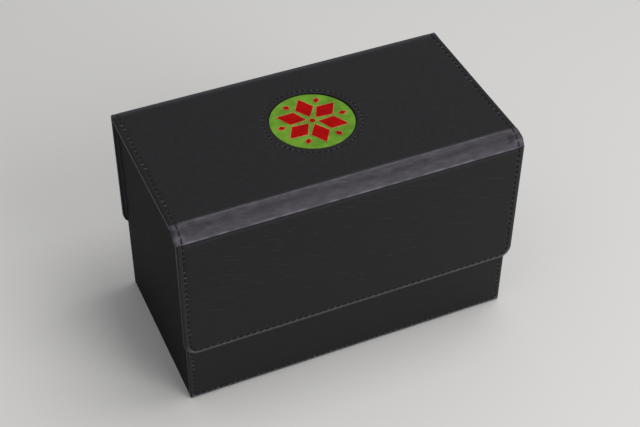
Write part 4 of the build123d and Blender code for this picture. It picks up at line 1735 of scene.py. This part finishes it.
# ---------------------------------------------------------------------------- studio
def facing(
    spot: Sequence[float], right: Sequence[float], up: Sequence[float], back: Sequence[float]
) -> Matrix:
    """The matrix of something that stands at a spot, from its own three directions."""
    return Matrix([[right[i], up[i], back[i], spot[i]] for i in range(3)] + [[0.0, 0.0, 0.0, 1.0]])


@dataclass(frozen=True)
class Lamp:
    """A square softbox."""

    name: str
    spot: tuple[float, float, float]
    size: float
    power: float

    def build(self, aim: tuple[float, float, float]) -> None:
        """Hang the softbox.

        Args:
            aim: the point that it is turned towards.
        """
        data = bpy.data.lights.new(self.name, "AREA")
        data.shape = "SQUARE"
        data.size = self.size
        data.energy = self.power
        lamp = bpy.data.objects.new(self.name, data)
        bpy.context.scene.collection.objects.link(lamp)
        back = np.array(self.spot) - np.array(aim)
        back /= np.linalg.norm(back)
        right = np.cross((0.0, 1.0, 0.0), back)
        right /= np.linalg.norm(right)
        lamp.matrix_world = facing(self.spot, right, np.cross(back, right), back)


@dataclass
class Studio:
    """A pale floor, soft light from all round and the photograph's camera."""

    floor_half: float = 3.0
    eye: tuple[float, float, float] = (-0.22042, -0.49800, 0.55638)
    right: tuple[float, float, float] = (0.91530285, -0.40270948, 0.00676542)
    up: tuple[float, float, float] = (0.26717817, 0.61965714, 0.73799787)
    back: tuple[float, float, float] = (-0.30139098, -0.67368398, 0.67476912)
    lens: float = 77.96
    world: float = 0.5
    lamps: tuple[Lamp, ...] = (
        Lamp("overhead", (0.38, -0.05, 1.25), 0.7, 6.5),
        Lamp("front", (0.42, -0.95, 0.75), 0.7, 6.0),
    )

    def camera(self) -> None:
        """Set the camera where the photograph was taken from, with its lens."""
        data = bpy.data.cameras.new("camera")
        data.sensor_fit = "HORIZONTAL"
        data.sensor_width = 36.0
        data.lens = self.lens
        data.clip_start = 0.01
        camera = bpy.data.objects.new("camera", data)
        bpy.context.scene.collection.objects.link(camera)
        camera.matrix_world = facing(self.eye, self.right, self.up, self.back)
        bpy.context.scene.camera = camera

    def floor(self) -> None:
        """A wide pale floor."""
        reach = self.floor_half / MM
        points = reach * np.array([(-1, -1, 0), (1, -1, 0), (1, 1, 0), (-1, 1, 0)], dtype=float)
        finish = Finish("pale_floor")
        cloud = finish.noise(400.0, Detail=1.0)
        material = finish.finished(
            Base_Color=finish.mix(cloud, "#d2d1cf", "#d8d7d5"), Roughness=0.9, Specular_IOR_Level=0.1
        )
        Shell(points, [np.array([[0, 1, 2, 3]])]).lay("floor", [material])

    def light(self) -> None:
        """Even light from the world, and softboxes above and in front."""
        world = bpy.data.worlds.new("studio")
        world.use_nodes = True
        background = world.node_tree.nodes["Background"]
        background.inputs["Color"].default_value = linear("#f4f4f6")
        background.inputs["Strength"].default_value = self.world
        bpy.context.scene.world = world
        for lamp in self.lamps:
            lamp.build((0.0, 0.0, 0.08))

    def build(self) -> None:
        """Set up the whole studio."""
        self.camera()
        self.floor()
        self.light()
        bpy.context.scene.view_settings.view_transform = "Standard"


def main() -> None:
    """Load the frame, dress it, and set up the studio."""
    logging.basicConfig(level=logging.INFO, format="%(name)s: %(message)s")
    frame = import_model()
    finishes = Finishes()
    Wrap(finishes).build()
    Fronts(finishes).build()
    Pull(finishes).build()
    Boards(finishes, frame).build()
    Studio().build()
    bpy.context.view_layer.update()


if __name__ == "__main__":
    main()
